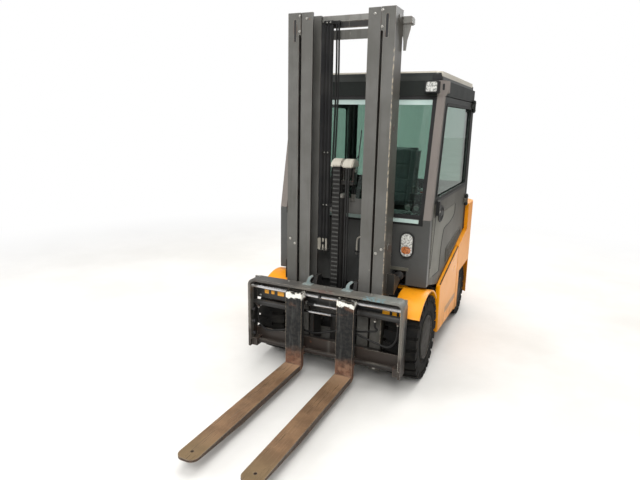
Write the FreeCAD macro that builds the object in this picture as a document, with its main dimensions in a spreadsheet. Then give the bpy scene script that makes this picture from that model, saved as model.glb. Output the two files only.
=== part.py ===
"""Electric counterbalance forklift with a free-lift mast, a cab and a fork positioner."""
import FreeCAD, Part
import math
import os
import Sketcher

# Driving dimensions: name, value in millimetres (or degrees), what it measures.
# Lengths along the truck run back from the forks' front faces.
SIZES = (
    ("body_length", 2170, "forks' front faces to the back of the counterweight"),
    ("load_reach", 420, "forks' front faces to the front axle"),
    ("wheel_base", 1360, "front axle to rear axle"),
    ("fork_length", 1150, "blade, from its tip to the shank's front face"),
    ("fork_width", 120, "blade and shank"),
    ("fork_thick", 40, "blade and shank"),
    ("fork_raise", 54, "underside of the blades above the floor"),
    ("fork_shank", 556, "shank's top above the blade's underside"),
    ("fork_taper", 430, "tapered length of a blade"),
    ("fork_tip_thick", 14, "blade at its tip"),
    ("fork_tip_round", 44, "corners of the tip"),
    ("fork_hole_radius", 9, "hole near each tip"),
    ("fork_hole_inset", 66, "tip to the hole's centre"),
    ("fork_left_place", 150, "left fork's centre left of the truck's middle"),
    ("fork_right_place", 225, "right fork's centre right of the middle"),
    ("shift_offset", -27, "side shift at rest"),
    ("frame_width", 1120, "fork positioner's frame"),
    ("frame_depth", 102, "frame, front to back"),
    ("frame_top", 657, "frame's top above the floor"),
    ("frame_foot", 152, "frame's lower edge above the floor"),
    ("frame_plate", 16, "steel of the frame's top and ends"),
    ("frame_corner", 46, "rounding of the frame's upper corners"),
    ("beam_thick", 9, "frame's back beams"),
    ("hook_x", 205, "hooks over the carriage bar from the frame's middle"),
    ("hook_half", 30, "half a hook's width"),
    ("hook_thick", 22, "hooks above the bar"),
    ("hook_gap", 0.3, "hooks above the bar's top"),
    ("slide_radius", 16, "bright bars that the forks slide on"),
    ("slide_drop", 66, "upper slide bar below the frame's top"),
    ("slide_back", 60, "slide bars behind the forks' faces"),
    ("slide_gap", 0.5, "slide bar in a fork's eye"),
    ("eye_wall", 11, "fork's eye round its slide bar"),
    ("ram_back", 66, "positioner rods behind the forks' faces"),
    ("ram_reach", 245, "positioner barrels' inner ends from the frame's middle"),
    ("ram_radius", 9, "positioner rods"),
    ("ram_barrel", 21, "positioner barrels"),
    ("ram_left_end", -442, "left fork's rod end from the middle"),
    ("ram_right_end", 388, "right fork's rod end from the middle"),
    ("ram_high", 525, "upper positioner rod above the floor"),
    ("ram_low", 470, "lower positioner rod above the floor"),
    ("bar_thick", 30, "carriage bars"),
    ("bar_tall", 90, "carriage bars"),
    ("bar_width", 960, "upper carriage bar"),
    ("bar_low_half", 352, "lower carriage bar's half width, between the front wheels"),
    ("bar_back", 104, "carriage bars behind the forks' faces"),
    ("bar_top", 588, "top of the upper carriage bar"),
    ("bar_foot", 178, "foot of the lower carriage bar"),
    ("cheek_half", 160, "carriage side plates' outer faces from the middle"),
    ("cheek_thick", 24, "carriage side plates"),
    ("cheek_top", 690, "carriage side plates' top"),
    ("mast_front", 140, "rails' front faces behind the forks' faces"),
    ("rail_depth", 150, "outer rails, front to back"),
    ("rail_half", 350, "outer rails' outer faces from the middle"),
    ("rail_flange", 74, "outer rails' flanges"),
    ("rail_wall", 15, "webs and flanges of the rails"),
    ("rail_foot", 105, "rails' lower ends above the floor"),
    ("rail_top", 2385, "rails' upper ends above the floor"),
    ("inner_half", 259, "inner rails' outer faces from the middle"),
    ("inner_flange", 78, "inner rails' flanges"),
    ("inner_inset", 5, "inner rails behind the outer rails' faces"),
    ("inner_raise", 12, "inner rails' foot above the outer rails' foot"),
    ("roller_gap", 0.3, "rollers between a rail's flanges"),
    ("roller_width", 38, "mast and carriage rollers"),
    ("cross_thick", 16, "mast cross members"),
    ("cross_foot", 170, "height of the lowest outer cross member"),
    ("cross_middle", 1130, "middle outer cross member above the floor"),
    ("cross_upper", 2240, "upper outer cross member above the floor"),
    ("cross_tall", 100, "height of the middle cross member"),
    ("crown_tall", 56, "height of the upper outer cross member"),
    ("head_tall", 75, "head of the inner mast"),
    ("tie_thick", 12, "inner mast's tie, behind the carriage's rollers"),
    ("shoe_tall", 130, "guide shoes at the outer rails' tops"),
    ("sole_thick", 22, "inner mast's foot plate"),
    ("lift_x", 296, "side lift cylinders from the middle"),
    ("lift_back", 336, "side lift cylinders behind the forks' faces"),
    ("lift_radius", 28, "side lift cylinders' barrels"),
    ("lift_wall", 6, "barrels' walls"),
    ("lift_rod", 18, "side lift rods"),
    ("lift_gap", 0.3, "rod in its gland"),
    ("lift_bare", 235, "side rods' bare length below their heads"),
    ("lift_crown", 2320, "lift rods' ends above the floor"),
    ("lift_foot", 400, "barrels' lower ends above the floor"),
    ("free_radius", 41, "middle lift cylinder's barrel"),
    ("free_rod", 21, "middle lift cylinder's rod"),
    ("free_back", 218, "middle lift cylinder behind the forks' faces"),
    ("free_bare", 155, "middle rod's bare length below the sheave axle"),
    ("sheave_radius", 58, "chain sheave and hose pulley"),
    ("sheave_over", 190, "sheave axle above the chain's anchor on the inner mast"),
    ("sheave_width", 48, "chain sheave"),
    ("pulley_x", 78, "hose pulleys from the middle"),
    ("chain_width", 42, "lift chain"),
    ("chain_thick", 15, "lift chain"),
    ("chain_post", 1235, "chain's anchor on the inner mast above the floor"),
    ("chain_end", 500, "chain's anchor on the carriage above the floor"),
    ("hose_radius", 7, "mast hoses"),
    ("pivot_x", 246, "mast pivots from the middle"),
    ("pivot_half", 12, "half a pivot eye's width"),
    ("pivot_back", 331, "mast pivot behind the forks' faces"),
    ("pivot_high", 242, "mast pivot above the floor"),
    ("pivot_pin", 14, "mast pivot pins"),
    ("pivot_gap", 0.05, "pins in their eyes"),
    ("pivot_eye", 27, "mast's pivot eyes"),
    ("pivot_lug", 20, "rounding of the lugs that hold the pivot pins"),
    ("ear_in", 19, "tilt ears' inner faces from their cylinder's middle"),
    ("ear_out", 31, "tilt ears' outer faces"),
    ("eye_play", 3.5, "tilt rod's eye round its pin, for the arc that the mast swings"),
    ("tilt_x", 372, "tilt cylinders from the middle"),
    ("tilt_high", 700, "tilt cylinders above the floor"),
    ("tilt_eye_back", 318, "tilt rods' eyes behind the forks' faces"),
    ("tilt_base_back", 690, "tilt barrels' rear pins"),
    ("tilt_radius", 30, "tilt barrels"),
    ("tilt_rod", 13, "tilt rods"),
    ("tilt_front", 432, "tilt barrels' glands behind the forks' faces"),
    ("tilt_pin", 11, "tilt pins"),
    ("tyre_front_radius", 292, "front tyres"),
    ("tyre_front_width", 225, "front tyres"),
    ("tyre_front_face", 595, "front tyres' outer faces from the middle"),
    ("rim_front_radius", 150, "front rims"),
    ("spindle_front", 44, "front wheel spindles"),
    ("spindle_rear", 24, "rear wheel spindles"),
    ("tube_half", 440, "drive axle tube's half length"),
    ("keel_foot", 285, "keel above the floor"),
    ("tyre_rear_radius", 228, "rear tyres"),
    ("tyre_rear_width", 173, "rear tyres"),
    ("tyre_rear_face", 575, "rear tyres' outer faces from the middle"),
    ("rim_rear_radius", 116, "rear rims"),
    ("king_x", 360, "kingpins from the middle"),
    ("king_radius", 17, "kingpins"),
    ("beam_half", 34, "steer axle beam, half its depth"),
    ("well_radius", 325, "rear wheel wells about the kingpins"),
    ("well_top", 474, "rear wheel wells' roofs above the floor"),
    ("side_half", 595, "side panels' outer faces from the middle"),
    ("side_thick", 34, "side panels"),
    ("side_front", 772, "side panels' front edges behind the forks' faces"),
    ("side_end", 1440, "side panels' rear edges behind the forks' faces"),
    ("side_foot", 190, "side panels' lower front corners above the floor"),
    ("side_foot_rear", 160, "side panels' lower rear corners above the floor"),
    ("side_shoulder", 562, "side panels' upper front corners above the floor"),
    ("side_slope", 0.2374, "rise of the side panels' upper edge for each unit of length"),
    ("tail_front", 1446, "counterweight's front face behind the forks' faces"),
    ("tail_step", 1806, "front of the counterweight's raised part"),
    ("tail_top", 1035, "counterweight's top above the floor"),
    ("tail_foot", 148, "counterweight's underside above the floor"),
    ("tail_round", 150, "counterweight's rear corners"),
    ("tail_tuck", 60, "counterweight's lower rear edge drawn in"),
    ("tail_crown", 34, "bevel along the counterweight's upper rear edge"),
    ("keel_half", 148, "counterweight between the rear wheels, half its width"),
    ("battery_front", 850, "battery behind the forks' faces"),
    ("battery_back", 1430, "battery's rear face"),
    ("battery_gap", 15, "space between the battery and the chassis side plates"),
    ("battery_foot", 174, "battery's underside above the floor"),
    ("battery_top", 800, "battery's top above the floor"),
    ("deck_high", 612, "cab floor's top above the floor"),
    ("deck_thick", 12, "cab floor"),
    ("box_top", 767, "boxes over the tilt cylinders, above the floor"),
    ("hood_top", 830, "battery hood above the floor"),
    ("hood_thick", 24, "battery hood"),
    ("hood_front", 838, "battery hood's front behind the forks' faces"),
    ("hood_over", 340, "battery hood's reach over the counterweight"),
    ("motor_half", 170, "drive motor's half width"),
    ("motor_front", 540, "drive motor behind the forks' faces"),
    ("motor_back", 760, "drive motor's rear face"),
    ("motor_top", 560, "drive motor's top above the floor"),
    ("chassis_wall", 14, "chassis plates"),
    ("panel_space", 32, "space between the chassis and the side panels"),
    ("chassis_foot", 160, "chassis underside above the floor"),
    ("chassis_front", 786, "chassis behind the front wheels"),
    ("nose_half", 345, "chassis between the front wheels, half its width"),
    ("nose_back", 505, "chassis front wall behind the forks' faces"),
    ("deck_front", 600, "chassis shelf's front edge behind the forks' faces"),
    ("fender_gap", 26, "fenders above the front tyres"),
    ("fender_thick", 10, "fenders"),
    ("fender_in", 410, "fenders' inner edges from the middle"),
    ("cab_inset", 30, "cab's outer faces inside the side panels' outer faces"),
    ("cab_wall", 50, "cab's side frames"),
    ("cab_plate", 12, "console's plates"),
    ("cab_foot", 640, "console's lower edge above the floor"),
    ("cab_front", 430, "console's front face behind the forks' faces"),
    ("opening_half", 48, "openings for the tilt cylinders, half their width"),
    ("opening_drop", 60, "those openings below the cylinders"),
    ("opening_rise", 54, "those openings above the cylinders"),
    ("shelf_deep", 90, "console's shelf"),
    ("cab_belt", 1105, "windscreen's lower edge above the floor"),
    ("cab_brow", 1905, "windscreen's upper edge above the floor"),
    ("brow_back", 598, "windscreen's upper edge behind the forks' faces"),
    ("post_foot", 49, "windscreen pillars' depth at their feet"),
    ("post_head", 32, "windscreen pillars' depth at their heads"),
    ("cab_back", 1800, "cab's rear face"),
    ("rear_post", 79, "rear pillars' depth"),
    ("rear_belt", 1232, "rear window's lower edge above the floor"),
    ("roof_top", 2068, "roof above the floor"),
    ("roof_thick", 62, "roof frame"),
    ("roof_inset", 33, "roof's sides inside the cab's outer faces"),
    ("roof_front", 622, "roof's front edge"),
    ("roof_back", 1885, "roof's rear edge"),
    ("roof_rim", 96, "roof frame's width"),
    ("door_thick", 30, "doors"),
    ("door_gap", 6, "gap round a door"),
    ("door_lift", 10, "gap below a door"),
    ("door_frame", 46, "door frames seen from the side"),
    ("door_rake", 22, "lower front corner of a door's window further back"),
    ("door_sill", 1232, "door windows' lower edges above the floor"),
    ("glass_thick", 6, "window glass"),
    ("handle_back", 560, "door handles behind the forks' faces"),
    ("handle_low", 1120, "door handles above the floor"),
    ("handle_tall", 100, "door handles"),
    ("handle_wide", 40, "door handles, front to back"),
    ("handle_out", 26, "door handles stand out"),
    ("hinge_radius", 13, "door hinges' knuckles"),
    ("hinge_pin", 6, "door hinges' pins"),
    ("hinge_tall", 34, "door hinges' middle knuckles"),
    ("hinge_low", 1080, "lower door hinges above the floor"),
    ("hinge_high", 1875, "upper door hinges above the floor"),
    ("axle_tube", 68, "drive axle's tube"),
    ("seat_half", 245, "seat's half width"),
    ("seat_front", 985, "seat cushion's front edge"),
    ("seat_rear", 1440, "seat cushion's rear edge"),
    ("seat_high", 1000, "seat cushion's top above the floor"),
    ("seat_thick", 100, "seat cushion"),
    ("back_tall", 560, "backrest above the cushion"),
    ("back_lean", 110, "backrest's top behind the cushion's rear edge"),
    ("back_thick", 70, "backrest's thickness at its top"),
    ("rest_middle", 290, "armrest's middle left of the truck's middle"),
    ("rest_half", 40, "armrest's half width"),
    ("rest_front", 1050, "armrest's front behind the forks' faces"),
    ("rest_rear", 1370, "armrest's rear"),
    ("rest_raise", 140, "armrest above the cushion"),
    ("rest_thick", 50, "armrest"),
    ("lever_radius", 12, "hydraulic lever"),
    ("lever_tall", 100, "hydraulic lever above the armrest"),
    ("wheel_rim", 180, "steering wheel's radius"),
    ("wheel_hub", 34, "steering wheel's hub"),
    ("hub_drop", 50, "hub's lower end below the rim's plane"),
    ("column_back", 745, "steering wheel's middle behind the forks' faces"),
    ("column_rise", 62, "steering wheel's middle above the windscreen's lower edge"),
    ("dash_half", 75, "dashboard's half width"),
    ("column_lean", 30, "steering column from upright, in degrees"),
    ("wheel_grip", 14, "steering wheel's grip"),
    ("lamp_inset", 147, "head lamps' middles inside the cab's outer faces"),
    ("lamp_high", 926, "head lamps' middles above the floor"),
    ("lamp_wide", 48, "head lamps' half width"),
    ("lamp_tall", 88, "head lamps' half height"),
    ("lamp_deep", 16, "head lamps in front of the console"),
    ("work_lamp_inset", 80, "work lamps' middles inside the cab's outer faces"),
    ("work_lamp_half", 45, "work lamps' half width"),
    ("work_lamp_low", 1925, "work lamps above the floor"),
    ("work_lamp_tall", 80, "work lamps"),
    ("work_lamp_deep", 50, "work lamps in front of the cab's brow"),
    ("tail_lamp_low", 1700, "tail lamps above the floor"),
    ("tail_lamp_tall", 150, "tail lamps"),
    ("tail_lamp_deep", 26, "tail lamps behind the rear pillars"),
    ("tail_lamp_inset", 6, "tail lamps narrower than the rear pillars at each side"),
    ("tow_radius", 14, "tow pin"),
    ("tow_high", 400, "tow pocket's middle above the floor"),
    ("tow_inset", 46, "tow pin from the tail"),
    ("tow_gap", 0.4, "tow pin in its hole"),
    ("tow_half", 60, "tow pocket's half width"),
    ("tow_deep", 84, "tow pocket's depth"),
    ("tow_tall", 66, "height of the tow pocket and of the recess above it"),
    ("tow_shelf", 20, "steel between the two"),
)


class Size:
    """A length that knows its number and the sheet's expression for it."""

    def __init__(self, number, text):
        self.number = float(number)
        self.text = text

    def joined(self, sign, other, number, swap=False):
        text = other.text if isinstance(other, Size) else repr(other)
        first, last = (text, self.text) if swap else (self.text, text)
        return Size(number, f"({first} {sign} {last})")

    def __add__(self, other):
        return self.joined("+", other, self.number + plain(other))

    def __radd__(self, other):
        return self.joined("+", other, plain(other) + self.number, True)

    def __sub__(self, other):
        return self.joined("-", other, self.number - plain(other))

    def __rsub__(self, other):
        return self.joined("-", other, plain(other) - self.number, True)

    def __mul__(self, other):
        return self.joined("*", other, self.number * plain(other))

    def __rmul__(self, other):
        return self.joined("*", other, plain(other) * self.number, True)

    def __truediv__(self, other):
        return self.joined("/", other, self.number / plain(other))

    def __neg__(self):
        return Size(-self.number, f"(0 - {self.text})")


def plain(value):
    """The number behind a Size, or the number itself."""
    return value.number if isinstance(value, Size) else float(value)


def bind(item, name, value):
    """Sets a property from a number, or ties it to the sheet."""
    item.setExpression(name, value.text if isinstance(value, Size) else repr(float(value)))


doc = FreeCAD.newDocument("Forklift")
sheet = doc.addObject("Spreadsheet::Sheet", "Sizes")
size = {}
for row, (name, value, note) in enumerate(SIZES, start=1):
    sheet.set(f"A{row}", name)
    sheet.set(f"B{row}", str(value))
    sheet.set(f"C{row}", note)
    sheet.setAlias(f"B{row}", name)
    size[name] = Size(value, f"Sizes.{name}")
doc.recompute()


class Sizes:
    """The sheet's rows as attributes."""


s = Sizes()
for name, length in size.items():
    setattr(s, name, length)

# Planes named by their normal: where a sketch's own axes point, and the side it extrudes to.
PLANES = {
    "x": FreeCAD.Rotation(FreeCAD.Vector(0, 1, 0), FreeCAD.Vector(0, 0, 1), FreeCAD.Vector(1, 0, 0), "XYZ"),
    "y": FreeCAD.Rotation(FreeCAD.Vector(1, 0, 0), FreeCAD.Vector(0, 0, 1), FreeCAD.Vector(0, -1, 0), "XYZ"),
    "z": FreeCAD.Rotation(),
}
SPIN = {
    "x": FreeCAD.Rotation(FreeCAD.Vector(0, 1, 0), 90),
    "y": FreeCAD.Rotation(FreeCAD.Vector(1, 0, 0), -90),
    "z": FreeCAD.Rotation(),
}


def block(name, x, y, z):
    """A block between (low, high) pairs along each axis."""
    item = doc.addObject("Part::Box", name)
    for side, axis, (low, high) in zip(("Length", "Width", "Height"), "xyz", (x, y, z)):
        bind(item, side, high - low)
        bind(item, f"Placement.Base.{axis}", low)
    return item


def bar(name, axis, centre, radius, span):
    """A round bar along an axis: centre gives the two other coordinates in order."""
    item = doc.addObject("Part::Cylinder", name)
    bind(item, "Radius", radius)
    bind(item, "Height", span[1] - span[0])
    item.Placement = FreeCAD.Placement(FreeCAD.Vector(), SPIN[axis])
    places = list(centre)
    places.insert("xyz".index(axis), span[0])
    for letter, place in zip("xyz", places):
        bind(item, f"Placement.Base.{letter}", place)
    return item


def outline(name, normal, points, level):
    """A closed outline of straight sides; points are the plane's two coordinates in order."""
    sketch = doc.addObject("Sketcher::SketchObject", name)
    sketch.Placement = FreeCAD.Placement(FreeCAD.Vector(), PLANES[normal])
    bind(sketch, f"Placement.Base.{normal}", level)
    spots = [FreeCAD.Vector(plain(u), plain(v), 0) for u, v in points]
    count = len(spots)
    for index, spot in enumerate(spots):
        sketch.addGeometry(Part.LineSegment(spot, spots[(index + 1) % count]), False)
    for index in range(count):
        sketch.addConstraint(Sketcher.Constraint("Coincident", index, 2, (index + 1) % count, 1))
    for index, point in enumerate(points):
        for kind, value in zip(("DistanceX", "DistanceY"), point):
            number = sketch.addConstraint(Sketcher.Constraint(kind, -1, 1, index, 1, plain(value)))
            bind(sketch, f"Constraints[{number}]", value)
    return sketch


def plate(name, normal, points, span):
    """An outline thickened along its normal between the two levels of span."""
    start = span[1] if normal == "y" else span[0]
    item = doc.addObject("Part::Extrusion", name)
    item.Base = outline(name + "_outline", normal, points, start)
    item.DirMode = "Normal"
    bind(item, "LengthFwd", span[1] - span[0])
    item.Solid = True
    return item


def turned(name, points, centre):
    """A body of revolution about an axle along X: points are (x, radius)."""
    item = doc.addObject("Part::Revolution", name)
    item.Source = outline(name + "_outline", "y", points, 0.0)
    item.Axis = FreeCAD.Vector(1, 0, 0)
    item.Angle = 360
    item.Solid = True
    bind(item, "Placement.Base.y", centre[0])
    bind(item, "Placement.Base.z", centre[1])
    return item


def fused(name, *pieces):
    """Pieces welded into one."""
    item = doc.addObject("Part::MultiFuse", name)
    item.Shapes = list(pieces)
    return item


def cut(name, base, *tools):
    """A piece with others taken out of it."""
    item = doc.addObject("Part::Cut", name)
    item.Base = base
    item.Tool = tools[0] if len(tools) == 1 else fused(name + "_tools", *tools)
    return item


def together(name, *pieces):
    """Like pieces that share a name without touching."""
    item = doc.addObject("Part::Compound", name)
    item.Links = list(pieces)
    return item


def common(name, *pieces):
    """What several pieces share."""
    item = doc.addObject("Part::MultiCommon", name)
    item.Shapes = list(pieces)
    return item


def mirror(name, base):
    """The same piece on the truck's other side."""
    item = doc.addObject("Part::Mirroring", name)
    item.Source = base
    item.Normal = FreeCAD.Vector(1, 0, 0)
    return item


def pair(name, base):
    """A piece and its mirror image, not touching."""
    return together(name, base, mirror(name + "_right", base))


def welded_pair(name, base, *others):
    """A piece, its mirror image and what joins them."""
    return fused(name, base, mirror(name + "_right", base), *others)


def softened(name, base, radius, pick):
    """A piece whose edges are rounded where pick(edge) says so."""
    doc.recompute()
    chosen = [number for number, edge in enumerate(base.Shape.Edges, start=1) if pick(edge)]
    item = doc.addObject("Part::Fillet", name)
    item.Base = base
    item.Edges = [(number, plain(radius), plain(radius)) for number in chosen]
    return item


def runs_along(edge, axis):
    """True for a straight edge along an axis."""
    if not isinstance(edge.Curve, Part.Line):
        return False
    return abs(getattr(edge.Curve.Direction, axis)) > 0.999


def at(edge, **spots):
    """True where the middle of an edge lies at the given coordinates."""
    middle = edge.BoundBox.Center
    return all(abs(getattr(middle, axis) - plain(spot)) < 0.5 for axis, spot in spots.items())


# Levels along the truck, from the middle of its whole length.
face = (s.fork_length - s.body_length) / 2
front_axle = face + s.load_reach
rear_axle = front_axle + s.wheel_base
tail = face + s.body_length
nodes = {}


def node(name, item):
    """Keeps a finished sub-part under its own name."""
    item.Label = name
    nodes[name] = item
    return item


# Forks
def fork(side, place):
    """One fork: tapered blade, upright shank and the eyes it slides on."""
    foot = s.fork_raise
    left, right = place - s.fork_width / 2, place + s.fork_width / 2
    tip = face - s.fork_length
    back = face + s.fork_thick
    side_view = (
        (tip, foot + s.fork_thick - s.fork_tip_thick),
        (tip + s.fork_taper, foot),
        (back, foot),
        (back, foot + s.fork_shank),
        (face, foot + s.fork_shank),
        (face, foot + s.fork_thick),
        (tip, foot + s.fork_thick),
    )
    steel = plate(f"fork_{side}_steel", "x", side_view, (left, right))
    steel = softened(f"fork_{side}_heel", steel, s.fork_thick * 0.9,
                     lambda edge: runs_along(edge, "x") and at(edge, y=back, z=foot))
    steel = softened(f"fork_{side}_tip", steel, s.fork_tip_round,
                     lambda edge: runs_along(edge, "z") and at(edge, y=tip))
    hole = bar(f"fork_{side}_hole", "z", (place, tip + s.fork_hole_inset), s.fork_hole_radius,
               (foot - 1, foot + s.fork_thick + 1))
    eyes = []
    for number, level in enumerate((slide_high, slide_low)):
        reach = s.slide_radius + s.slide_gap + s.eye_wall
        middle = face + s.slide_back
        ring = bar(f"fork_{side}_eye_{number}", "x", (middle, level), reach, (left, right))
        root = block(f"fork_{side}_root_{number}", (left, right), (back - 2, middle),
                     (level - reach, level + reach))
        bore = bar(f"fork_{side}_bore_{number}", "x", (middle, level), s.slide_radius + s.slide_gap,
                   (left - 1, right + 1))
        eyes.append((ring, root, bore))
    if side == "left":
        level, reach = s.ram_low, (s.ram_left_end, place)
    else:
        level, reach = s.ram_high, (place, s.ram_right_end)
    grip = block(f"fork_{side}_grip", (place - 26, place + 26), (back - 2, face + s.ram_back + 15),
                 (level - 16, level + 16))
    rod = bar(f"fork_{side}_rod", "x", (face + s.ram_back, level), s.ram_radius, reach)
    body = fused(f"fork_{side}_body", steel, grip, rod,
                 *[piece for ring, root, bore in eyes for piece in (ring, root)])
    return cut(f"fork_{side}", body, hole, *[bore for ring, root, bore in eyes])


slide_high = s.frame_top - s.slide_drop
slide_low = s.frame_foot + s.slide_radius * 2
node("fork_left", fork("left", s.fork_left_place))
node("fork_right", fork("right", -s.fork_right_place))

# Fork positioner's frame, shifted sideways on the carriage
frame_left = s.shift_offset + s.frame_width / 2
frame_right = s.shift_offset - s.frame_width / 2
frame_back = face + s.frame_depth


def positioner_frame():
    """Top plate bent down into the end plates, with the slide bars between them."""
    shell = block("frame_outside", (frame_right, frame_left), (face, frame_back), (s.frame_foot, s.frame_top))
    shell = softened("frame_rounded", shell, s.frame_corner,
                     lambda edge: runs_along(edge, "y") and at(edge, z=s.frame_top))
    inside = block("frame_inside", (frame_right + s.frame_plate, frame_left - s.frame_plate),
                   (face - 1, frame_back + 1), (s.frame_foot - 1, s.frame_top - s.frame_plate))
    inside = softened("frame_inside_rounded", inside, s.frame_corner - s.frame_plate,
                      lambda edge: runs_along(edge, "y") and at(edge, z=s.frame_top - s.frame_plate))
    strap = cut("frame_strap", shell, inside)
    reach = (frame_right + 2, frame_left - 2)
    bars = [bar(f"frame_slide_{number}", "x", (face + s.slide_back, level), s.slide_radius, reach)
            for number, level in enumerate((slide_high, slide_low))]
    beam = block("frame_beam", (frame_right + 4, frame_left - 4), (frame_back - s.beam_thick, frame_back),
                 (s.bar_top - s.bar_tall, s.frame_top - 4))
    rail = block("frame_rail", (frame_right + 4, frame_left - 4), (frame_back - s.beam_thick, frame_back),
                 (s.frame_foot, s.bar_foot + s.bar_tall))
    feet = []
    for number, edge in enumerate((frame_right + s.frame_plate, frame_left - s.frame_plate)):
        way = 1 if number == 0 else -1
        reach = sorted((edge - way * 4, edge + way * 40), key=plain)
        feet.append(block(f"frame_foot_{number}", tuple(reach), (face + 24, frame_back),
                          (s.frame_foot, slide_low + 24)))
    hooks = []
    for number, place in enumerate((-s.hook_x, s.hook_x)):
        middle = s.shift_offset + place
        wide = (middle - s.hook_half, middle + s.hook_half)
        hooks.append(block(f"frame_hook_{number}", wide, (frame_back - 2, frame_back + s.bar_thick - 4),
                           (s.bar_top + s.hook_gap, s.bar_top + s.hook_gap + s.hook_thick)))
    return fused("positioner_frame", strap, beam, rail, *bars, *feet, *hooks)


node("positioner_frame", positioner_frame())

# Positioner barrels: each takes the rod of the fork on the frame's other side
ram_end = s.frame_width / 2 - s.frame_plate


def positioner_ram(name, level, way):
    """A barrel between the frame's end plate and its gland, open for a rod."""
    inner, outer = s.shift_offset + way * s.ram_reach, s.shift_offset + way * ram_end
    span = (inner, outer) if way > 0 else (outer, inner)
    bore = (inner - 1, outer - 5) if way > 0 else (outer + 5, inner + 1)
    centre = (face + s.ram_back, level)
    tube = bar(f"ram_{name}_tube", "x", centre, s.ram_barrel, span)
    return cut(f"ram_{name}", tube, bar(f"ram_{name}_bore", "x", centre, s.ram_radius + s.lift_gap, bore))


node("positioner_rams", together("positioner_rams", positioner_ram("upper", s.ram_high, 1),
                                 positioner_ram("lower", s.ram_low, -1)))

# Carriage: two bars on side plates that run in the inner rails
rail_front = face + s.mast_front
rail_back = rail_front + s.rail_depth
inner_front = rail_front + s.inner_inset
inner_back = rail_back - s.inner_inset
rail_middle = (rail_front + rail_back) / 2
outer_roller = s.rail_depth / 2 - s.rail_wall - s.roller_gap
inner_roller = outer_roller - s.inner_inset

free_middle = face + s.free_back
chain_front_run = free_middle - s.sheave_radius
chain_rear_run = free_middle + s.sheave_radius


def carriage():
    """Bars, side plates, rollers and the chain anchor."""
    bar_front = face + s.bar_back
    wide = (-s.bar_width / 2, s.bar_width / 2)
    bar_rear = bar_front + s.bar_thick
    upper = block("carriage_upper", wide, (bar_front, bar_rear), (s.bar_top - s.bar_tall, s.bar_top))
    lower = block("carriage_lower", (-s.bar_low_half, s.bar_low_half), (bar_front, bar_rear),
                  (s.bar_foot, s.bar_foot + s.bar_tall))
    cheek_view = (
        (bar_rear - 1, s.bar_foot),
        (rail_middle + 40, s.bar_foot),
        (rail_middle + 40, s.cheek_top),
        (rail_middle - 30, s.cheek_top),
        (bar_rear + 12, s.bar_top - 20),
        (bar_rear - 1, s.bar_top - 40),
    )
    cheek = plate("carriage_cheek", "x", cheek_view, (s.cheek_half - s.cheek_thick, s.cheek_half))
    rollers = []
    for number, level in enumerate((s.bar_foot + 70, s.cheek_top - 66)):
        rollers.append(bar(f"carriage_roller_{number}", "x", (rail_middle, level), inner_roller,
                           (s.cheek_half + 22, s.cheek_half + 22 + s.roller_width)))
        rollers.append(bar(f"carriage_stub_{number}", "x", (rail_middle, level), 20,
                           (s.cheek_half - 4, s.cheek_half + 24)))
    side = fused("carriage_side", cheek, *rollers)
    bridge = block("carriage_bridge", (-s.cheek_half + 4, s.cheek_half - 4),
                   (bar_rear - 2, chain_front_run + s.chain_thick / 2),
                   (s.chain_end - 40, s.chain_end))
    return welded_pair("carriage", side, upper, lower, bridge)


node("carriage", carriage())


# Mast: outer rails, inner rails, cylinders, sheaves and chain
def channel(name, outer, flange, front, back, foot, top):
    """A rolled channel open towards the middle of the mast."""
    view = (
        (outer, front), (outer, back), (outer - flange, back), (outer - flange, back - s.rail_wall),
        (outer - s.rail_wall, back - s.rail_wall), (outer - s.rail_wall, front + s.rail_wall),
        (outer - flange, front + s.rail_wall), (outer - flange, front),
    )
    return plate(name, "z", view, (foot, top))


def tilt_ears():
    """Brackets and pin for one tilt rod, reaching back past the rail."""
    pin_back = face + s.tilt_eye_back
    view = (
        (rail_middle, s.tilt_high - 70), (pin_back, s.tilt_high - 26), (pin_back + 24, s.tilt_high),
        (pin_back, s.tilt_high + 26), (rail_middle, s.tilt_high + 70),
    )
    inner = plate("tilt_ear_inner", "x", view, (s.tilt_x - s.ear_out, s.tilt_x - s.ear_in))
    outer = plate("tilt_ear_outer", "x", view, (s.tilt_x + s.ear_in, s.tilt_x + s.ear_out))
    bridge = block("tilt_bridge", (s.rail_half - 2, s.tilt_x + s.ear_out),
                   (rail_middle, rail_middle + s.rail_wall), (s.tilt_high - 70, s.tilt_high + 70))
    pin = bar("tilt_pin_front", "x", (pin_back, s.tilt_high), s.tilt_pin,
              (s.tilt_x - s.ear_out - 2, s.tilt_x + s.ear_out + 2))
    return inner, outer, bridge, pin


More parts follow.
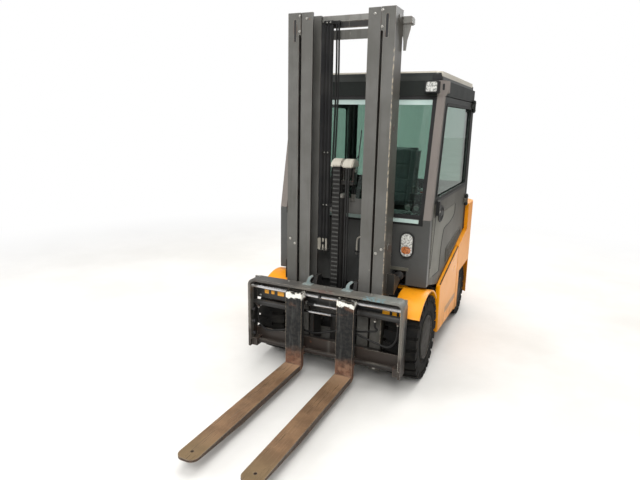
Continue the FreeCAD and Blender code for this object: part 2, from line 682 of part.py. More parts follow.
def outer_mast():
    """Outer rails with cross members, pivot eyes and tilt brackets."""
    rail = channel("outer_rail", s.rail_half, s.rail_flange, rail_front, rail_back, s.rail_foot, s.rail_top)
    pivot = face + s.pivot_back
    eye_x = (s.pivot_x - s.pivot_half, s.pivot_x + s.pivot_half)
    eye_view = (
        (rail_back + 1, s.rail_foot), (pivot, s.pivot_high - s.pivot_eye),
        (pivot, s.pivot_high + s.pivot_eye), (rail_back + 1, s.rail_foot + s.cross_foot),
    )
    eye_plate = plate("mast_eye_plate", "x", eye_view, eye_x)
    eye_round = bar("mast_eye_round", "x", (pivot, s.pivot_high), s.pivot_eye, eye_x)
    bore = bar("mast_eye_bore", "x", (pivot, s.pivot_high), s.pivot_pin + s.pivot_gap,
               (eye_x[0] - 1, eye_x[1] + 1))
    eye = cut("mast_eye", fused("mast_eye_solid", eye_plate, eye_round), bore)
    shoe = block("mast_shoe", (s.inner_half + 4, s.rail_half - s.rail_flange + 1),
                 (rail_front, rail_front + s.rail_wall), (s.rail_top - s.shoe_tall, s.rail_top))
    seat = block("lift_seat", (s.lift_x - 26, s.rail_half - 2), (rail_back - 1, face + s.lift_back + 20),
                 (s.lift_foot - 24, s.lift_foot))
    side = fused("outer_side", rail, eye, shoe, seat, *tilt_ears())
    crosses = []
    rows = (  # foot and height of each cross member
        (s.rail_foot, s.cross_foot), (s.cross_middle, s.cross_tall), (s.cross_upper, s.crown_tall),
    )
    for number, (low, tall) in enumerate(rows):
        crosses.append(block(f"outer_cross_{number}", (-s.rail_half + 2, s.rail_half - 2),
                             (rail_back, rail_back + s.cross_thick), (low, low + tall)))
    return welded_pair("mast_outer_rails", side, *crosses)


node("mast_outer_rails", outer_mast())


def barrel(name, place, back, radius, rod, foot, top):
    """An upright hydraulic barrel with its gland, open for the rod."""
    outside = bar(f"{name}_tube", "z", (place, back), radius, (foot, top))
    gland = bar(f"{name}_gland", "z", (place, back), radius + 4, (top - 26, top))
    bore = bar(f"{name}_bore", "z", (place, back), radius - s.lift_wall, (foot + 30, top - 40))
    mouth = bar(f"{name}_mouth", "z", (place, back), rod + s.lift_gap, (foot + 30, top + 1))
    return cut(name, fused(f"{name}_outside", outside, gland), bore, mouth)


lift_middle = face + s.lift_back
head_foot = s.lift_crown - 10
lift_top = s.lift_crown - s.lift_bare
node("side_lift_barrels", pair("side_lift_barrels", barrel(
    "side_barrel", s.lift_x, lift_middle, s.lift_radius, s.lift_rod, s.lift_foot, lift_top)))


def inner_mast():
    """Inner rails with cross members, rollers and the head that the side rods push."""
    foot = s.rail_foot + s.inner_raise
    rail = channel("inner_rail", s.inner_half, s.inner_flange, inner_front, inner_back, foot,
                   head_foot + s.head_tall)
    roller_high = foot + 80
    roller = bar("inner_roller", "x", (rail_middle, roller_high), outer_roller,
                 (s.rail_half - s.rail_flange + 4, s.rail_half - s.rail_wall - 5))
    stub = bar("inner_stub", "x", (rail_middle, roller_high), 22,
               (s.inner_half - 3, s.rail_half - s.rail_flange + 6))
    crown = block("lift_crown_block", (s.lift_x - 30, s.lift_x + 34), (rail_back + 6, lift_middle + 30),
                  (head_foot, s.lift_crown + 30))
    head_high = (head_foot, head_foot + s.head_tall)
    web = block("inner_head_web", (s.inner_half - 40, s.inner_half), (inner_back - 1, rail_back + 8),
                head_high)
    side = fused("inner_side", rail, roller, stub, crown, web)
    inside = s.inner_half - s.rail_wall
    sole = block("inner_sole", (-inside, inside), (inner_front + 20, inner_back), (foot, foot + s.sole_thick))
    tie = block("inner_tie", (-inside, inside), (inner_back - s.tie_thick, inner_back),
                (s.chain_post - s.cross_tall, s.chain_post))
    head = block("inner_head", (-s.lift_x, s.lift_x), (rail_back + 6, rail_back + 6 + s.cross_thick),
                 head_high)
    return welded_pair("mast_inner_rails", side, sole, tie, head)


node("mast_inner_rails", inner_mast())
node("side_lift_rods", pair("side_lift_rods", bar("side_rod", "z", (s.lift_x, lift_middle), s.lift_rod,
                                                  (s.lift_foot + 60, head_foot))))
inner_sole_top = s.rail_foot + s.inner_raise + s.sole_thick
sheave_high = s.chain_post + s.sheave_over
free_top = sheave_high - s.free_bare
node("free_lift_barrel", barrel("free_lift_barrel", Size(0, "0"), free_middle, s.free_radius, s.free_rod,
                                inner_sole_top, free_top))


def crosshead():
    """Middle rod's head with the chain sheave and the hose pulley."""
    rod = bar("free_rod", "z", (Size(0, "0"), free_middle), s.free_rod,
              (inner_sole_top + 60, sheave_high - 70))
    half = s.sheave_width / 2
    yoke = block("head_yoke", (-half - 16, s.pulley_x + 24), (free_middle - 26, free_middle + 26),
                 (sheave_high - 90, sheave_high - 66))
    cheeks = []
    for number, place in enumerate((-half - 16, half + 4, s.pulley_x + 16)):  # left face of each cheek
        cheeks.append(block(f"head_cheek_{number}", (place, place + 8), (free_middle - 22, free_middle + 22),
                            (sheave_high - 68, sheave_high + 20)))
    axle = bar("head_axle", "x", (free_middle, sheave_high), 14, (-half - 18, s.pulley_x + 26))
    groove = s.sheave_radius - s.chain_thick / 2 - 0.3
    sheave = bar("chain_sheave", "x", (free_middle, sheave_high), groove, (-half, half))
    pulley = bar("hose_pulley", "x", (free_middle, sheave_high), s.sheave_radius - s.hose_radius - 0.3,
                 (s.pulley_x - 20, s.pulley_x + 12))
    return fused("crosshead", rod, yoke, axle, sheave, pulley, *cheeks)


node("crosshead", crosshead())


CORDS = (  # name, middle from the truck's middle, half width, thickness: a chain and two hoses
    ("chain", Size(0, "0"), s.chain_width / 2, s.chain_thick),
    ("hose_inner", s.pulley_x - 12, s.hose_radius, s.hose_radius * 2),
    ("hose_outer", s.pulley_x + 4, s.hose_radius, s.hose_radius * 2),
)


def reeving(part):
    """The chain and hoses over their wheels, or their straight runs before or behind them."""
    pieces = []
    for name, centre, half, thick in CORDS:
        wide = (centre - half, centre + half)
        inner, outer = s.sheave_radius - thick / 2, s.sheave_radius + thick / 2
        tag = f"{name}_{part}"
        if part == "over":
            wider = (wide[0] - 1, wide[1] + 1)
            pieces.append(cut(
                tag, bar(f"{tag}_outer", "x", (free_middle, sheave_high), outer, wide),
                bar(f"{tag}_inner", "x", (free_middle, sheave_high), inner, wider),
                block(f"{tag}_lower", wider, (free_middle - outer - 1, free_middle + outer + 1),
                      (sheave_high - outer - 1, sheave_high))))
        elif part == "front":
            pieces.append(block(tag, wide, (free_middle - outer, free_middle - inner),
                                (s.chain_end, sheave_high)))
        else:
            pieces.append(block(tag, wide, (free_middle + inner, free_middle + outer),
                                (s.chain_post, sheave_high)))
    return together(f"reeving_{part}", *pieces)


for part in ("over", "front", "rear"):
    node(f"reeving_{part}", reeving(part))


# Tilt cylinders
tilt_eye = face + s.tilt_eye_back
tilt_base = face + s.tilt_base_back


def tilt_barrel():
    """Barrel with its base eye, open in front for the rod."""
    gland = face + s.tilt_front
    tube = bar("tilt_tube", "y", (s.tilt_x, s.tilt_high), s.tilt_radius, (gland, tilt_base - 36))
    neck = block("tilt_neck", (s.tilt_x - 15, s.tilt_x + 15), (tilt_base - 40, tilt_base),
                 (s.tilt_high - 16, s.tilt_high + 16))
    ring = bar("tilt_base_ring", "x", (tilt_base, s.tilt_high), 22, (s.tilt_x - 17, s.tilt_x + 17))
    hole = bar("tilt_base_hole", "x", (tilt_base, s.tilt_high), s.tilt_pin + s.pivot_gap,
               (s.tilt_x - 18, s.tilt_x + 18))
    bore = bar("tilt_bore", "y", (s.tilt_x, s.tilt_high), s.tilt_rod + s.lift_gap,
               (gland - 1, tilt_base - 40))
    return cut("tilt_barrel", fused("tilt_barrel_solid", tube, neck, ring), hole, bore)


def tilt_rod():
    """Rod whose eye hangs free round the mast's pin."""
    shaft = bar("tilt_shaft", "y", (s.tilt_x, s.tilt_high), s.tilt_rod, (tilt_eye + 18, tilt_base - 110))
    ring = bar("tilt_eye_ring", "x", (tilt_eye, s.tilt_high), 25, (s.tilt_x - 15, s.tilt_x + 15))
    hole = bar("tilt_eye_hole", "x", (tilt_eye, s.tilt_high), s.tilt_pin + s.eye_play,
               (s.tilt_x - 16, s.tilt_x + 16))
    return cut("tilt_rod", fused("tilt_rod_solid", shaft, ring), hole)


node("tilt_barrels", pair("tilt_barrels", tilt_barrel()))
node("tilt_rods", pair("tilt_rods", tilt_rod()))


# Wheels
def tyre(name, radius, width, bead, outside, axle):
    """A solid tyre with bevelled shoulders."""
    inside = outside - width
    shoulder = radius - 26
    points = (
        (inside, bead), (outside, bead), (outside, shoulder), (outside - 16, radius),
        (inside + 16, radius), (inside, shoulder),
    )
    return turned(name, points, (axle, radius))


def rim(name, bead, width, outside, axle, high, spindle):
    """A pressed rim: barrel, dished disc and hub."""
    inside = outside - width
    disc = outside - width * 0.42
    points = (
        (inside, bead - 9), (inside, bead), (outside, bead), (outside, bead - 9),
        (disc + 14, bead - 16), (disc + 14, spindle + 34), (disc + 46, spindle + 26), (disc + 46, spindle),
        (disc - 24, spindle), (disc - 24, spindle + 34), (disc, spindle + 40), (disc, bead - 16),
    )
    return turned(name, points, (axle, high))


front_high = s.tyre_front_radius
rear_high = s.tyre_rear_radius
WHEELS = (  # name, tyre radius, tyre width, rim radius, outer face, axle, spindle radius
    ("front", s.tyre_front_radius, s.tyre_front_width, s.rim_front_radius, s.tyre_front_face, front_axle,
     s.spindle_front),
    ("rear", s.tyre_rear_radius, s.tyre_rear_width, s.rim_rear_radius, s.tyre_rear_face, rear_axle,
     s.spindle_rear),
)
for where, radius, width, bead, outside, axle, spindle in WHEELS:
    rubber = tyre(f"tyre_{where}_left", radius, width, bead, outside, axle)
    steel = rim(f"rim_{where}_left", bead, width, outside, axle, radius, spindle + s.pivot_gap)
    node(f"tyre_{where}_left", rubber)
    node(f"rim_{where}_left", steel)
    node(f"tyre_{where}_right", mirror(f"tyre_{where}_right", rubber))
    node(f"rim_{where}_right", mirror(f"rim_{where}_right", steel))


def knuckle():
    """Yoke round the beam's end with its kingpin and the rear wheel's spindle."""
    arm = s.beam_half - 2
    deep = (rear_axle - arm, rear_axle + arm)
    arms = []
    for number, high in enumerate(((rear_high - 66, rear_high - 42), (rear_high + 42, rear_high + 66))):
        arms.append(block(f"yoke_arm_{number}", (s.king_x - 26, s.king_x + 62), deep, high))
    web = block("yoke_web", (s.king_x + 42, s.king_x + 64), deep, (rear_high - 66, rear_high + 66))
    pin = bar("kingpin", "z", (s.king_x, rear_axle), s.king_radius, (rear_high - 64, rear_high + 64))
    spindle = bar("rear_spindle", "x", (rear_axle, rear_high), s.spindle_rear,
                  (s.king_x + 60, s.tyre_rear_face - 36))
    return fused("knuckle", web, pin, spindle, *arms)


left_knuckle = knuckle()
node("knuckle_left", left_knuckle)
node("knuckle_right", mirror("knuckle_right", left_knuckle))


def steer_axle():
    """Beam with an eye at each end for the kingpins."""
    high = (rear_high - 40, rear_high + 40)
    deep = (rear_axle - s.beam_half, rear_axle + s.beam_half)
    beam = block("steer_beam", (-s.king_x, s.king_x), deep, high)
    ends, bores = [], []
    for number, place in enumerate((-s.king_x, s.king_x)):
        ends.append(bar(f"beam_end_{number}", "z", (place, rear_axle), s.beam_half, high))
        bores.append(bar(f"beam_bore_{number}", "z", (place, rear_axle), s.king_radius + s.pivot_gap,
                         (high[0] - 1, high[1] + 1)))
    pad = block("beam_pad", (-s.keel_half + 20, s.keel_half - 20), deep, (high[1] - 1, s.keel_foot))
    return cut("steer_axle", fused("steer_beam_solid", beam, pad, *ends), *bores)


node("steer_axle", steer_axle())


def drive_axle():
    """Axle tube with its middle casing, wheel spindles and mounts on the chassis."""
    tube = bar("axle_tube", "x", (front_axle, front_high), s.axle_tube, (-s.tube_half, s.tube_half))
    casing = bar("axle_casing", "x", (front_axle, front_high), s.axle_tube + 16, (-110, 110))
    spindle = bar("front_spindle", "x", (front_axle, front_high), s.spindle_front,
                  (-s.tyre_front_face + 60, s.tyre_front_face - 60))
    mounts = []
    lugs = []
    for side in (-1, 1):
        middle = s.pivot_x * side
        tag = "left" if side > 0 else "right"
        mounts.append(block(f"axle_mount_{tag}", (middle - 50, middle + 50),
                            (front_axle + 40, face + s.nose_back), (front_high - 60, front_high + 60)))
        for way in (-1, 1):
            place = middle + way * (s.pivot_half + 4 + 11)
            lug_view = (
                (face + s.pivot_back, s.pivot_high - s.pivot_lug), (front_axle, front_high - 60),
                (front_axle, front_high + 60), (face + s.pivot_back, s.pivot_high + s.pivot_lug),
            )
            number = f"{tag}_{way + 1}"
            reach = (place - 11, place + 11)
            lugs.append(plate(f"pivot_lug_{number}", "x", lug_view, reach))
            lugs.append(bar(f"pivot_round_{number}", "x", (face + s.pivot_back, s.pivot_high),
                            s.pivot_lug, reach))
        lugs.append(bar(f"pivot_pin_{tag}", "x", (face + s.pivot_back, s.pivot_high), s.pivot_pin,
                        (middle - s.pivot_half - 28, middle + s.pivot_half + 28)))
    return fused("drive_axle", tube, casing, spindle, *mounts, *lugs)


node("drive_axle", drive_axle())


# Chassis, its heavy masses and the panels on it
def wall_box(name, x, y, z):
    """A block on both sides of the middle, from one side to the other."""
    return block(name, (-x, x), y, z)


def at_back(distance):
    """A level along the truck from its distance behind the forks' faces."""
    return face + distance


cab_half = s.side_half - s.cab_inset
chassis_half = s.side_half - s.side_thick - s.panel_space
battery_half = chassis_half - s.chassis_wall - s.battery_gap
nose = at_back(s.nose_back)
tub_front = at_back(s.chassis_front)
tub_back = at_back(s.tail_front)
floor_under = s.deck_high - s.deck_thick


def chassis():
    """Nose between the front wheels, tub for the battery, shelf and tilt brackets."""
    wall = s.chassis_wall
    high = (s.chassis_foot, floor_under)
    bottom = (s.chassis_foot, s.chassis_foot + wall)
    pieces = [
        wall_box("nose_front", s.nose_half, (nose, nose + wall), high),
        wall_box("nose_bottom", s.nose_half, (nose, tub_front + wall), bottom),
        wall_box("tub_wall", chassis_half, (tub_front, tub_front + wall), high),
        wall_box("tub_rear", chassis_half, (tub_back - wall, tub_back), high),
        wall_box("tub_bottom", chassis_half, (tub_front, tub_back), bottom),
        wall_box("shelf", chassis_half, (at_back(s.deck_front), tub_front + wall),
                 (floor_under - 12, floor_under)),
    ]
    side = [
        block("nose_side", (s.nose_half - wall, s.nose_half), (nose, tub_front + wall), high),
        block("tub_side", (chassis_half - wall, chassis_half), (tub_front, tub_back), high),
    ]
    base = at_back(s.tilt_base_back)
    for name, place in (("inner", s.tilt_x - s.ear_out), ("outer", s.tilt_x + s.ear_in)):
        side.append(block(f"tilt_post_{name}", (place, place + s.ear_out - s.ear_in), (base - 30, base + 30),
                          (floor_under - 2, s.tilt_high + 28)))
    side.append(bar("tilt_pin_rear", "x", (base, s.tilt_high), s.tilt_pin,
                    (s.tilt_x - s.ear_out - 2, s.tilt_x + s.ear_out + 2)))
    for number, place in enumerate((800, 1100, 1400)):  # pads that the side panels sit on
        side.append(block(f"panel_pad_{number}", (chassis_half - 1, s.side_half - s.side_thick),
                          (at_back(place), at_back(place + 36)), (300, 520)))
    return welded_pair("chassis_frame", fused("chassis_side", *side), *pieces)


node("chassis_frame", chassis())
node("battery", wall_box("battery", battery_half, (at_back(s.battery_front), at_back(s.battery_back)),
                         (s.battery_foot, s.battery_top)))
node("drive_motor", wall_box("drive_motor", s.motor_half, (at_back(s.motor_front), at_back(s.motor_back)),
                             (s.chassis_foot + s.chassis_wall, s.motor_top)))


def panel_edge(distance):
    """Height of the side panels' upper edge at a distance behind the forks' faces."""
    return s.side_shoulder + (distance - s.side_front) * s.side_slope


def side_panel():
    """Painted panel beside the battery, its upper edge rising to the rear."""
    view = (
        (at_back(s.side_front), s.side_foot), (at_back(s.side_end), s.side_foot_rear),
        (at_back(s.side_end), panel_edge(s.side_end)), (at_back(s.side_front), s.side_shoulder),
    )
    return plate("side_panel", "x", view, (s.side_half - s.side_thick, s.side_half))


node("side_panels", pair("side_panels", side_panel()))


def fender():
    """Curved guard over a front tyre, on a bracket from the chassis nose."""
    inner = s.tyre_front_radius + s.fender_gap
    outer = inner + s.fender_thick
    wide = (s.fender_in, s.tyre_front_face)
    centre = (front_axle, front_high)
    ring = cut("fender_ring", bar("fender_outside", "x", centre, outer, wide),
               bar("fender_inside", "x", centre, inner, (wide[0] - 1, wide[1] + 1)))
    near, low, high = front_axle - 400, front_high + 335, front_high + 500
    sector = plate("fender_sector", "x", (
        (front_axle, front_high), (front_axle + 400, low), (front_axle + 400, high),
        (near, high), (near, low),
    ), (wide[0] - 2, wide[1] + 2))
    arm = block("fender_arm", (s.nose_half, s.fender_in + 2), (nose, nose + 40),
                (floor_under - 14, floor_under - 2))
    return fused("fender", common("fender_arc", ring, sector), arm)


node("front_fenders", pair("front_fenders", fender()))
tow_lower = (s.tow_high - s.tow_tall / 2, s.tow_high + s.tow_tall / 2)
tow_upper = (tow_lower[1] + s.tow_shelf, tow_lower[1] + s.tow_shelf + s.tow_tall)


def counterweight():
    """Cast weight, rounded behind and drawn in below, with wheel wells, axle slot and tow pocket."""
    step = at_back(s.tail_step)
    view = (
        (tub_back, s.tail_foot), (tail - s.tail_tuck, s.tail_foot), (tail, s.tail_foot + s.tail_tuck * 2),
        (tail, s.tail_top - s.tail_crown), (tail - s.tail_crown, s.tail_top), (step, s.tail_top),
        (step, panel_edge(s.tail_step)), (tub_back, panel_edge(s.tail_front)),
    )
    plan = wall_box("weight_plan", s.side_half, (tub_back, tail), (s.tail_foot, s.tail_top))
    plan = softened("weight_rounded", plan, s.tail_round,
                    lambda edge: runs_along(edge, "z") and at(edge, y=tail))
    steel = common("weight_steel", plan, plate("weight_side", "x", view, (-s.side_half, s.side_half)))
    keel = wall_box("weight_keel", s.keel_half, (tub_back, tail), (s.tail_foot - 1, s.well_top + 1))
    wells = []
    for number, place in enumerate((-s.king_x, s.king_x)):
        wells.append(bar(f"well_round_{number}", "z", (place, rear_axle), s.well_radius,
                         (s.tail_foot - 1, s.well_top)))
    wheels = cut("wheel_wells", fused("wells_round", *wells), keel)
    reach = s.beam_half + 12
    slot = wall_box("axle_slot", s.keel_half + 2, (rear_axle - reach, rear_axle + reach),
                    (s.tail_foot - 1, s.keel_foot))
    pocket = fused("tow_pockets", *[
        wall_box(f"tow_pocket_{number}", s.tow_half, (tail - s.tow_deep, tail + 1), levels)
        for number, levels in enumerate((tow_lower, tow_upper))])
    hole = bar("tow_hole", "z", (Size(0, "0"), tail - s.tow_inset), s.tow_radius + s.tow_gap,
               (tow_lower[0] - s.tow_shelf, tow_upper[0] + 1))
    seat = wall_box("cab_seat", cab_half - s.cab_wall, (tub_back - 1, step),
                    (s.hood_top - s.hood_thick - 30, s.tail_top))
    return cut("counterweight", steel, wheels, slot, pocket, hole, seat)


node("counterweight", counterweight())
node("tow_pin", fused(
    "tow_pin",
    bar("tow_shank", "z", (Size(0, "0"), tail - s.tow_inset), s.tow_radius,
        (tow_lower[0] - s.tow_shelf, tow_upper[0] + 4)),
    bar("tow_knob", "z", (Size(0, "0"), tail - s.tow_inset), s.tow_radius + 8,
        (tow_upper[0], tow_upper[1] - 16))))


# Cab: floor, console, frame, roof and glass
cab_front = at_back(s.cab_front)
cab_rear = at_back(s.cab_back)
brow = at_back(s.brow_back)
hood_front = at_back(s.hood_front)
roof_half = cab_half - s.roof_inset
lamp_x = cab_half - s.lamp_inset
work_lamp_x = cab_half - s.work_lamp_inset


def cab_floor():
    """Floor plate, boxes over the tilt cylinders and the battery hood."""
    inside = cab_half - s.cab_wall
    box_inner = s.tilt_x - s.ear_out - 16
    box_back = at_back(s.tilt_base_back + 60)
    box_deep = (cab_front + s.cab_plate, box_back)
    floor_high = (floor_under, s.deck_high)
    deck = wall_box("deck_middle", box_inner + s.cab_plate, (cab_front + s.cab_plate, hood_front), floor_high)
    wings = wall_box("deck_wings", inside, (box_back - s.cab_plate, hood_front), floor_high)
    riser = wall_box("hood_riser", inside, (hood_front, hood_front + s.cab_plate), (floor_under, s.hood_top))
    hood = wall_box("hood", inside, (hood_front, tub_back + s.hood_over),
                    (s.hood_top - s.hood_thick, s.hood_top))
    top = block("tilt_box_top", (box_inner, inside), box_deep, (s.box_top - s.cab_plate, s.box_top))
    box_high = (floor_under + 2, s.box_top)
    wall = block("tilt_box_wall", (box_inner, box_inner + s.cab_plate), box_deep, box_high)
    end = block("tilt_box_end", (box_inner, inside), (box_back - s.cab_plate, box_back), box_high)
    return welded_pair("cab_floor", fused("tilt_box", top, wall, end), deck, wings, riser, hood)


node("cab_floor", cab_floor())


def console():
    """Front wall below the windscreen, its shelf and the corners in front of the doors."""
    sheet = (cab_front, cab_front + s.cab_plate)
    wall = wall_box("console_wall", cab_half - 20, sheet, (s.cab_foot, s.cab_belt))
    chin = wall_box("console_chin", s.nose_half - 2, sheet, (floor_under, s.cab_foot + 2))
    shelf = wall_box("console_shelf", cab_half - s.cab_wall + 2, (cab_front, cab_front + s.shelf_deep),
                     (s.cab_belt - 2 * s.cab_plate, s.cab_belt))
    corner = block("console_corner", (cab_half - s.cab_wall, cab_half),
                   (cab_front, cab_front + s.post_foot), (s.cab_foot, s.cab_belt))
    opening = block("tilt_opening", (s.tilt_x - s.opening_half, s.tilt_x + s.opening_half),
                    (sheet[0] - 1, sheet[1] + 1),
                    (s.tilt_high - s.opening_drop, s.tilt_high + s.opening_rise))
    body = welded_pair("console_body", corner, wall, chin, shelf)
    return cut("front_console", body, opening, mirror("tilt_opening_right", opening))


node("front_console", console())


def cab_frame():
    """Pillars, header rails and rear wall, with hinge brackets on the rear pillars."""
    inner, outer = cab_half - s.cab_wall, cab_half
    header_foot = s.cab_brow + s.door_gap
    roof_under = s.roof_top - s.roof_thick
    post_view = (
        (cab_front, s.cab_belt), (cab_front + s.post_foot, s.cab_belt), (brow + s.post_head, s.cab_brow),
        (brow + s.post_head, roof_under), (brow, roof_under), (brow, s.cab_brow),
    )
    post = plate("front_post", "x", post_view, (inner, outer))
    rear_front = cab_rear - s.rear_post
    rear = block("rear_post", (inner, outer), (rear_front, cab_rear),
                 (panel_edge(s.tail_step) + 2, roof_under))
    rail = block("side_header", (inner, outer), (brow, cab_rear), (header_foot, roof_under))
    sill = plate("side_sill", "x", (
        (cab_front + s.post_foot, s.cab_foot), (at_back(s.side_front), floor_under),
        (tub_back, panel_edge(s.tail_front) + 4), (rear_front + 4, panel_edge(s.cab_back - s.rear_post) + 4),
        (rear_front + 4, s.hood_top + 20), (hood_front, s.hood_top - 160),
        (cab_front + s.post_foot, s.cab_foot + 60),
    ), (inner, outer - s.door_thick - s.door_gap))
    hinges = []
    for number, level in enumerate((s.hinge_low, s.hinge_high)):
        half = s.hinge_tall / 2 + 2
        for way in (-1, 1):
            ends = sorted((level + way * half, level + way * (half + 26)), key=plain)
            tag = f"{number}_{way + 1}"
            hinges.append(bar(f"hinge_cup_{tag}", "z", (hinge_x, hinge_y), s.hinge_radius, tuple(ends)))
            hinges.append(block(f"hinge_leaf_{tag}", (outer - 1, hinge_x), (hinge_y, hinge_y + 30),
                                tuple(ends)))
        hinges.append(bar(f"hinge_pin_{number}", "z", (hinge_x, hinge_y), s.hinge_pin,
                          (level - half - 20, level + half + 20)))
    side = fused("cab_side", post, rear, rail, sill, *hinges)
    header = wall_box("front_header", inner + 2, (brow, brow + 60), (header_foot, roof_under))
    back = wall_box("rear_header", inner + 2, (cab_rear - 60, cab_rear), (header_foot, roof_under))
    low = wall_box("rear_wall", inner + 2, (cab_rear - 24, cab_rear), (s.hood_top, s.rear_belt))
    return welded_pair("cab_frame", side, header, back, low)


hinge_x = cab_half + s.hinge_radius + 1
hinge_y = cab_rear - s.rear_post - s.door_gap / 2
node("cab_frame", cab_frame())


def roof():
    """Roof frame with guard bars over its opening."""
    high = (s.roof_top - s.roof_thick, s.roof_top)
    span = (at_back(s.roof_front), at_back(s.roof_back))
    shell = wall_box("roof_shell", roof_half, span, high)
    shell = softened("roof_rounded", shell, 40, lambda edge: runs_along(edge, "z"))
    hole_y = (span[0] + s.roof_rim, span[1] - s.roof_rim * 2)
    hole = wall_box("roof_hole", roof_half - s.roof_rim, hole_y, (high[0] - 1, high[1] + 1))
    frame = cut("roof_frame", shell, hole)
    bars = []
    for number in range(4):
        middle = hole_y[0] + (hole_y[1] - hole_y[0]) * (number + 1) / 5
        bars.append(wall_box(f"roof_bar_{number}", roof_half - s.roof_rim + 1, (middle - 15, middle + 15),
                             (s.roof_top - 26, s.roof_top - 6)))
    return fused("cab_roof", frame, *bars)


node("cab_roof", roof())


def glazing():
    """Windscreen, rear window and roof pane."""
    inner = cab_half - s.cab_wall
    screen = plate("windscreen", "x", (
        (cab_front + 12, s.cab_belt), (cab_front + 12 + s.glass_thick, s.cab_belt),
        (brow + 12 + s.glass_thick, s.cab_brow + s.door_gap), (brow + 12, s.cab_brow + s.door_gap),
    ), (-inner, inner))
    rear = wall_box("rear_window", inner, (cab_rear - 30, cab_rear - 24),
                    (s.rear_belt - 60, s.cab_brow + s.door_gap))
    pane = wall_box("roof_window", roof_half - s.roof_rim - 0.3,
                    (at_back(s.roof_front) + s.roof_rim + 0.3, at_back(s.roof_back) - s.roof_rim * 2 - 0.3),
                    (s.roof_top - s.roof_thick + 6, s.roof_top - s.roof_thick + 12))
    return together("cab_glass", screen, rear, pane)


node("cab_glass", glazing())


# Doors
def window_view(inset):
    """Outline of a door's window seen from the side, drawn in by a margin."""
    back = cab_rear - s.rear_post - s.door_gap - s.door_frame - inset
    foot = cab_front + s.post_foot + s.door_gap + s.door_frame + s.door_rake + inset
    head = brow + s.post_head + s.door_gap + s.door_frame + inset
    high = (s.door_sill + inset, s.cab_brow - s.door_frame - inset)
    return (foot, high[0]), (back, high[0]), (back, high[1]), (head, high[1])


def door():
    """Door leaf with its window cut out and two hinge knuckles at the rear."""
    outer = cab_half
    gap = s.door_gap
    back = cab_rear - s.rear_post - gap
    foot = cab_front + s.post_foot + gap
    head = brow + s.post_head + gap
    lift = s.door_lift
    view = (
        (foot, s.cab_foot + 6), (at_back(s.side_front), s.side_shoulder + lift),
        (back, panel_edge(s.cab_back - s.rear_post - gap) + lift),
        (back, s.cab_brow), (head, s.cab_brow), (foot, s.cab_belt),
    )
    leaf = plate("door_leaf", "x", view, (outer - s.door_thick, outer))
    window = plate("door_window", "x", window_view(0), (outer - s.door_thick - 1, outer + 1))
    leaf = cut("door_open", leaf, window)
    knuckles = []
    bores = []
    for number, level in enumerate((s.hinge_low, s.hinge_high)):
        ends = (level - s.hinge_tall / 2, level + s.hinge_tall / 2)
        knuckles.append(bar(f"door_knuckle_{number}", "z", (hinge_x, hinge_y), s.hinge_radius, ends))
        knuckles.append(block(f"door_strap_{number}", (outer - 1, hinge_x),
                              (hinge_y - 60, hinge_y - 3), ends))
        bores.append(bar(f"door_bore_{number}", "z", (hinge_x, hinge_y), s.hinge_pin + s.pivot_gap,
                         (level - s.hinge_tall, level + s.hinge_tall)))
    handle = block("door_handle", (outer - 1, outer + s.handle_out),
                   (at_back(s.handle_back), at_back(s.handle_back + s.handle_wide)),
                   (s.handle_low, s.handle_low + s.handle_tall))
    return cut("door", fused("door_solid", leaf, handle, *knuckles), *bores)


def door_glass():
    """Pane that fills the door's window."""
    middle = cab_half - s.door_thick / 2
    return plate("door_pane", "x", window_view(0.3), (middle - s.glass_thick / 2, middle + s.glass_thick / 2))


left_door, left_pane = door(), door_glass()
node("door_left", left_door)
node("door_right", mirror("door_right", left_door))
node("door_glass_left", left_pane)
node("door_glass_right", mirror("door_glass_right", left_pane))


# Driver's place
def seat_cushion():
    """Seat cushion with rounded edges."""
    item = wall_box("cushion", s.seat_half, (at_back(s.seat_front), at_back(s.seat_rear)),
                    (s.seat_high - s.seat_thick, s.seat_high))
    return softened("seat_cushion", item, 30, lambda edge: not runs_along(edge, "z"))


def seat_back():
    """Backrest, leaning back a little."""
    foot, rear = s.seat_high + 0.5, at_back(s.seat_rear)
    head = rear + s.back_lean
    view = ((rear - s.back_thick - 20, foot), (rear + 10, foot), (head, foot + s.back_tall - 20),
            (head - s.back_thick, foot + s.back_tall))
    item = plate("backrest", "x", view, (-s.seat_half + 15, s.seat_half - 15))
    return softened("seat_back", item, 26, lambda edge: not runs_along(edge, "x"))


node("seat_base", wall_box("seat_base", s.seat_half - 50,
                           (at_back(s.seat_front + 30), at_back(s.seat_rear - 30)),
                           (s.hood_top, s.seat_high - s.seat_thick)))
node("seat_cushion", seat_cushion())
node("seat_back", seat_back())


def armrest():
    """Armrest on its post, with the hydraulic lever at its front end."""
    foot = s.seat_high + s.rest_raise
    top = foot + s.rest_thick
    post = block("armrest_post", (s.rest_middle - 20, s.rest_middle + 20),
                 (at_back(s.rest_rear - 80), at_back(s.rest_rear - 20)), (s.hood_top, foot + 10))
    pad = block("armrest_pad", (s.rest_middle - s.rest_half, s.rest_middle + s.rest_half),
                (at_back(s.rest_front), at_back(s.rest_rear)), (foot, top))
    lever = bar("lever", "z", (s.rest_middle, at_back(s.rest_front + 40)), s.lever_radius,
                (top - 2, top + s.lever_tall))
    return fused("armrest", post, pad, lever)


node("armrest", armrest())
wheel_y, wheel_z = at_back(s.column_back), s.cab_belt + s.column_rise
lean_angle = math.radians(s.column_lean.number)
lean_sin, lean_cos = math.sin(lean_angle), math.cos(lean_angle)


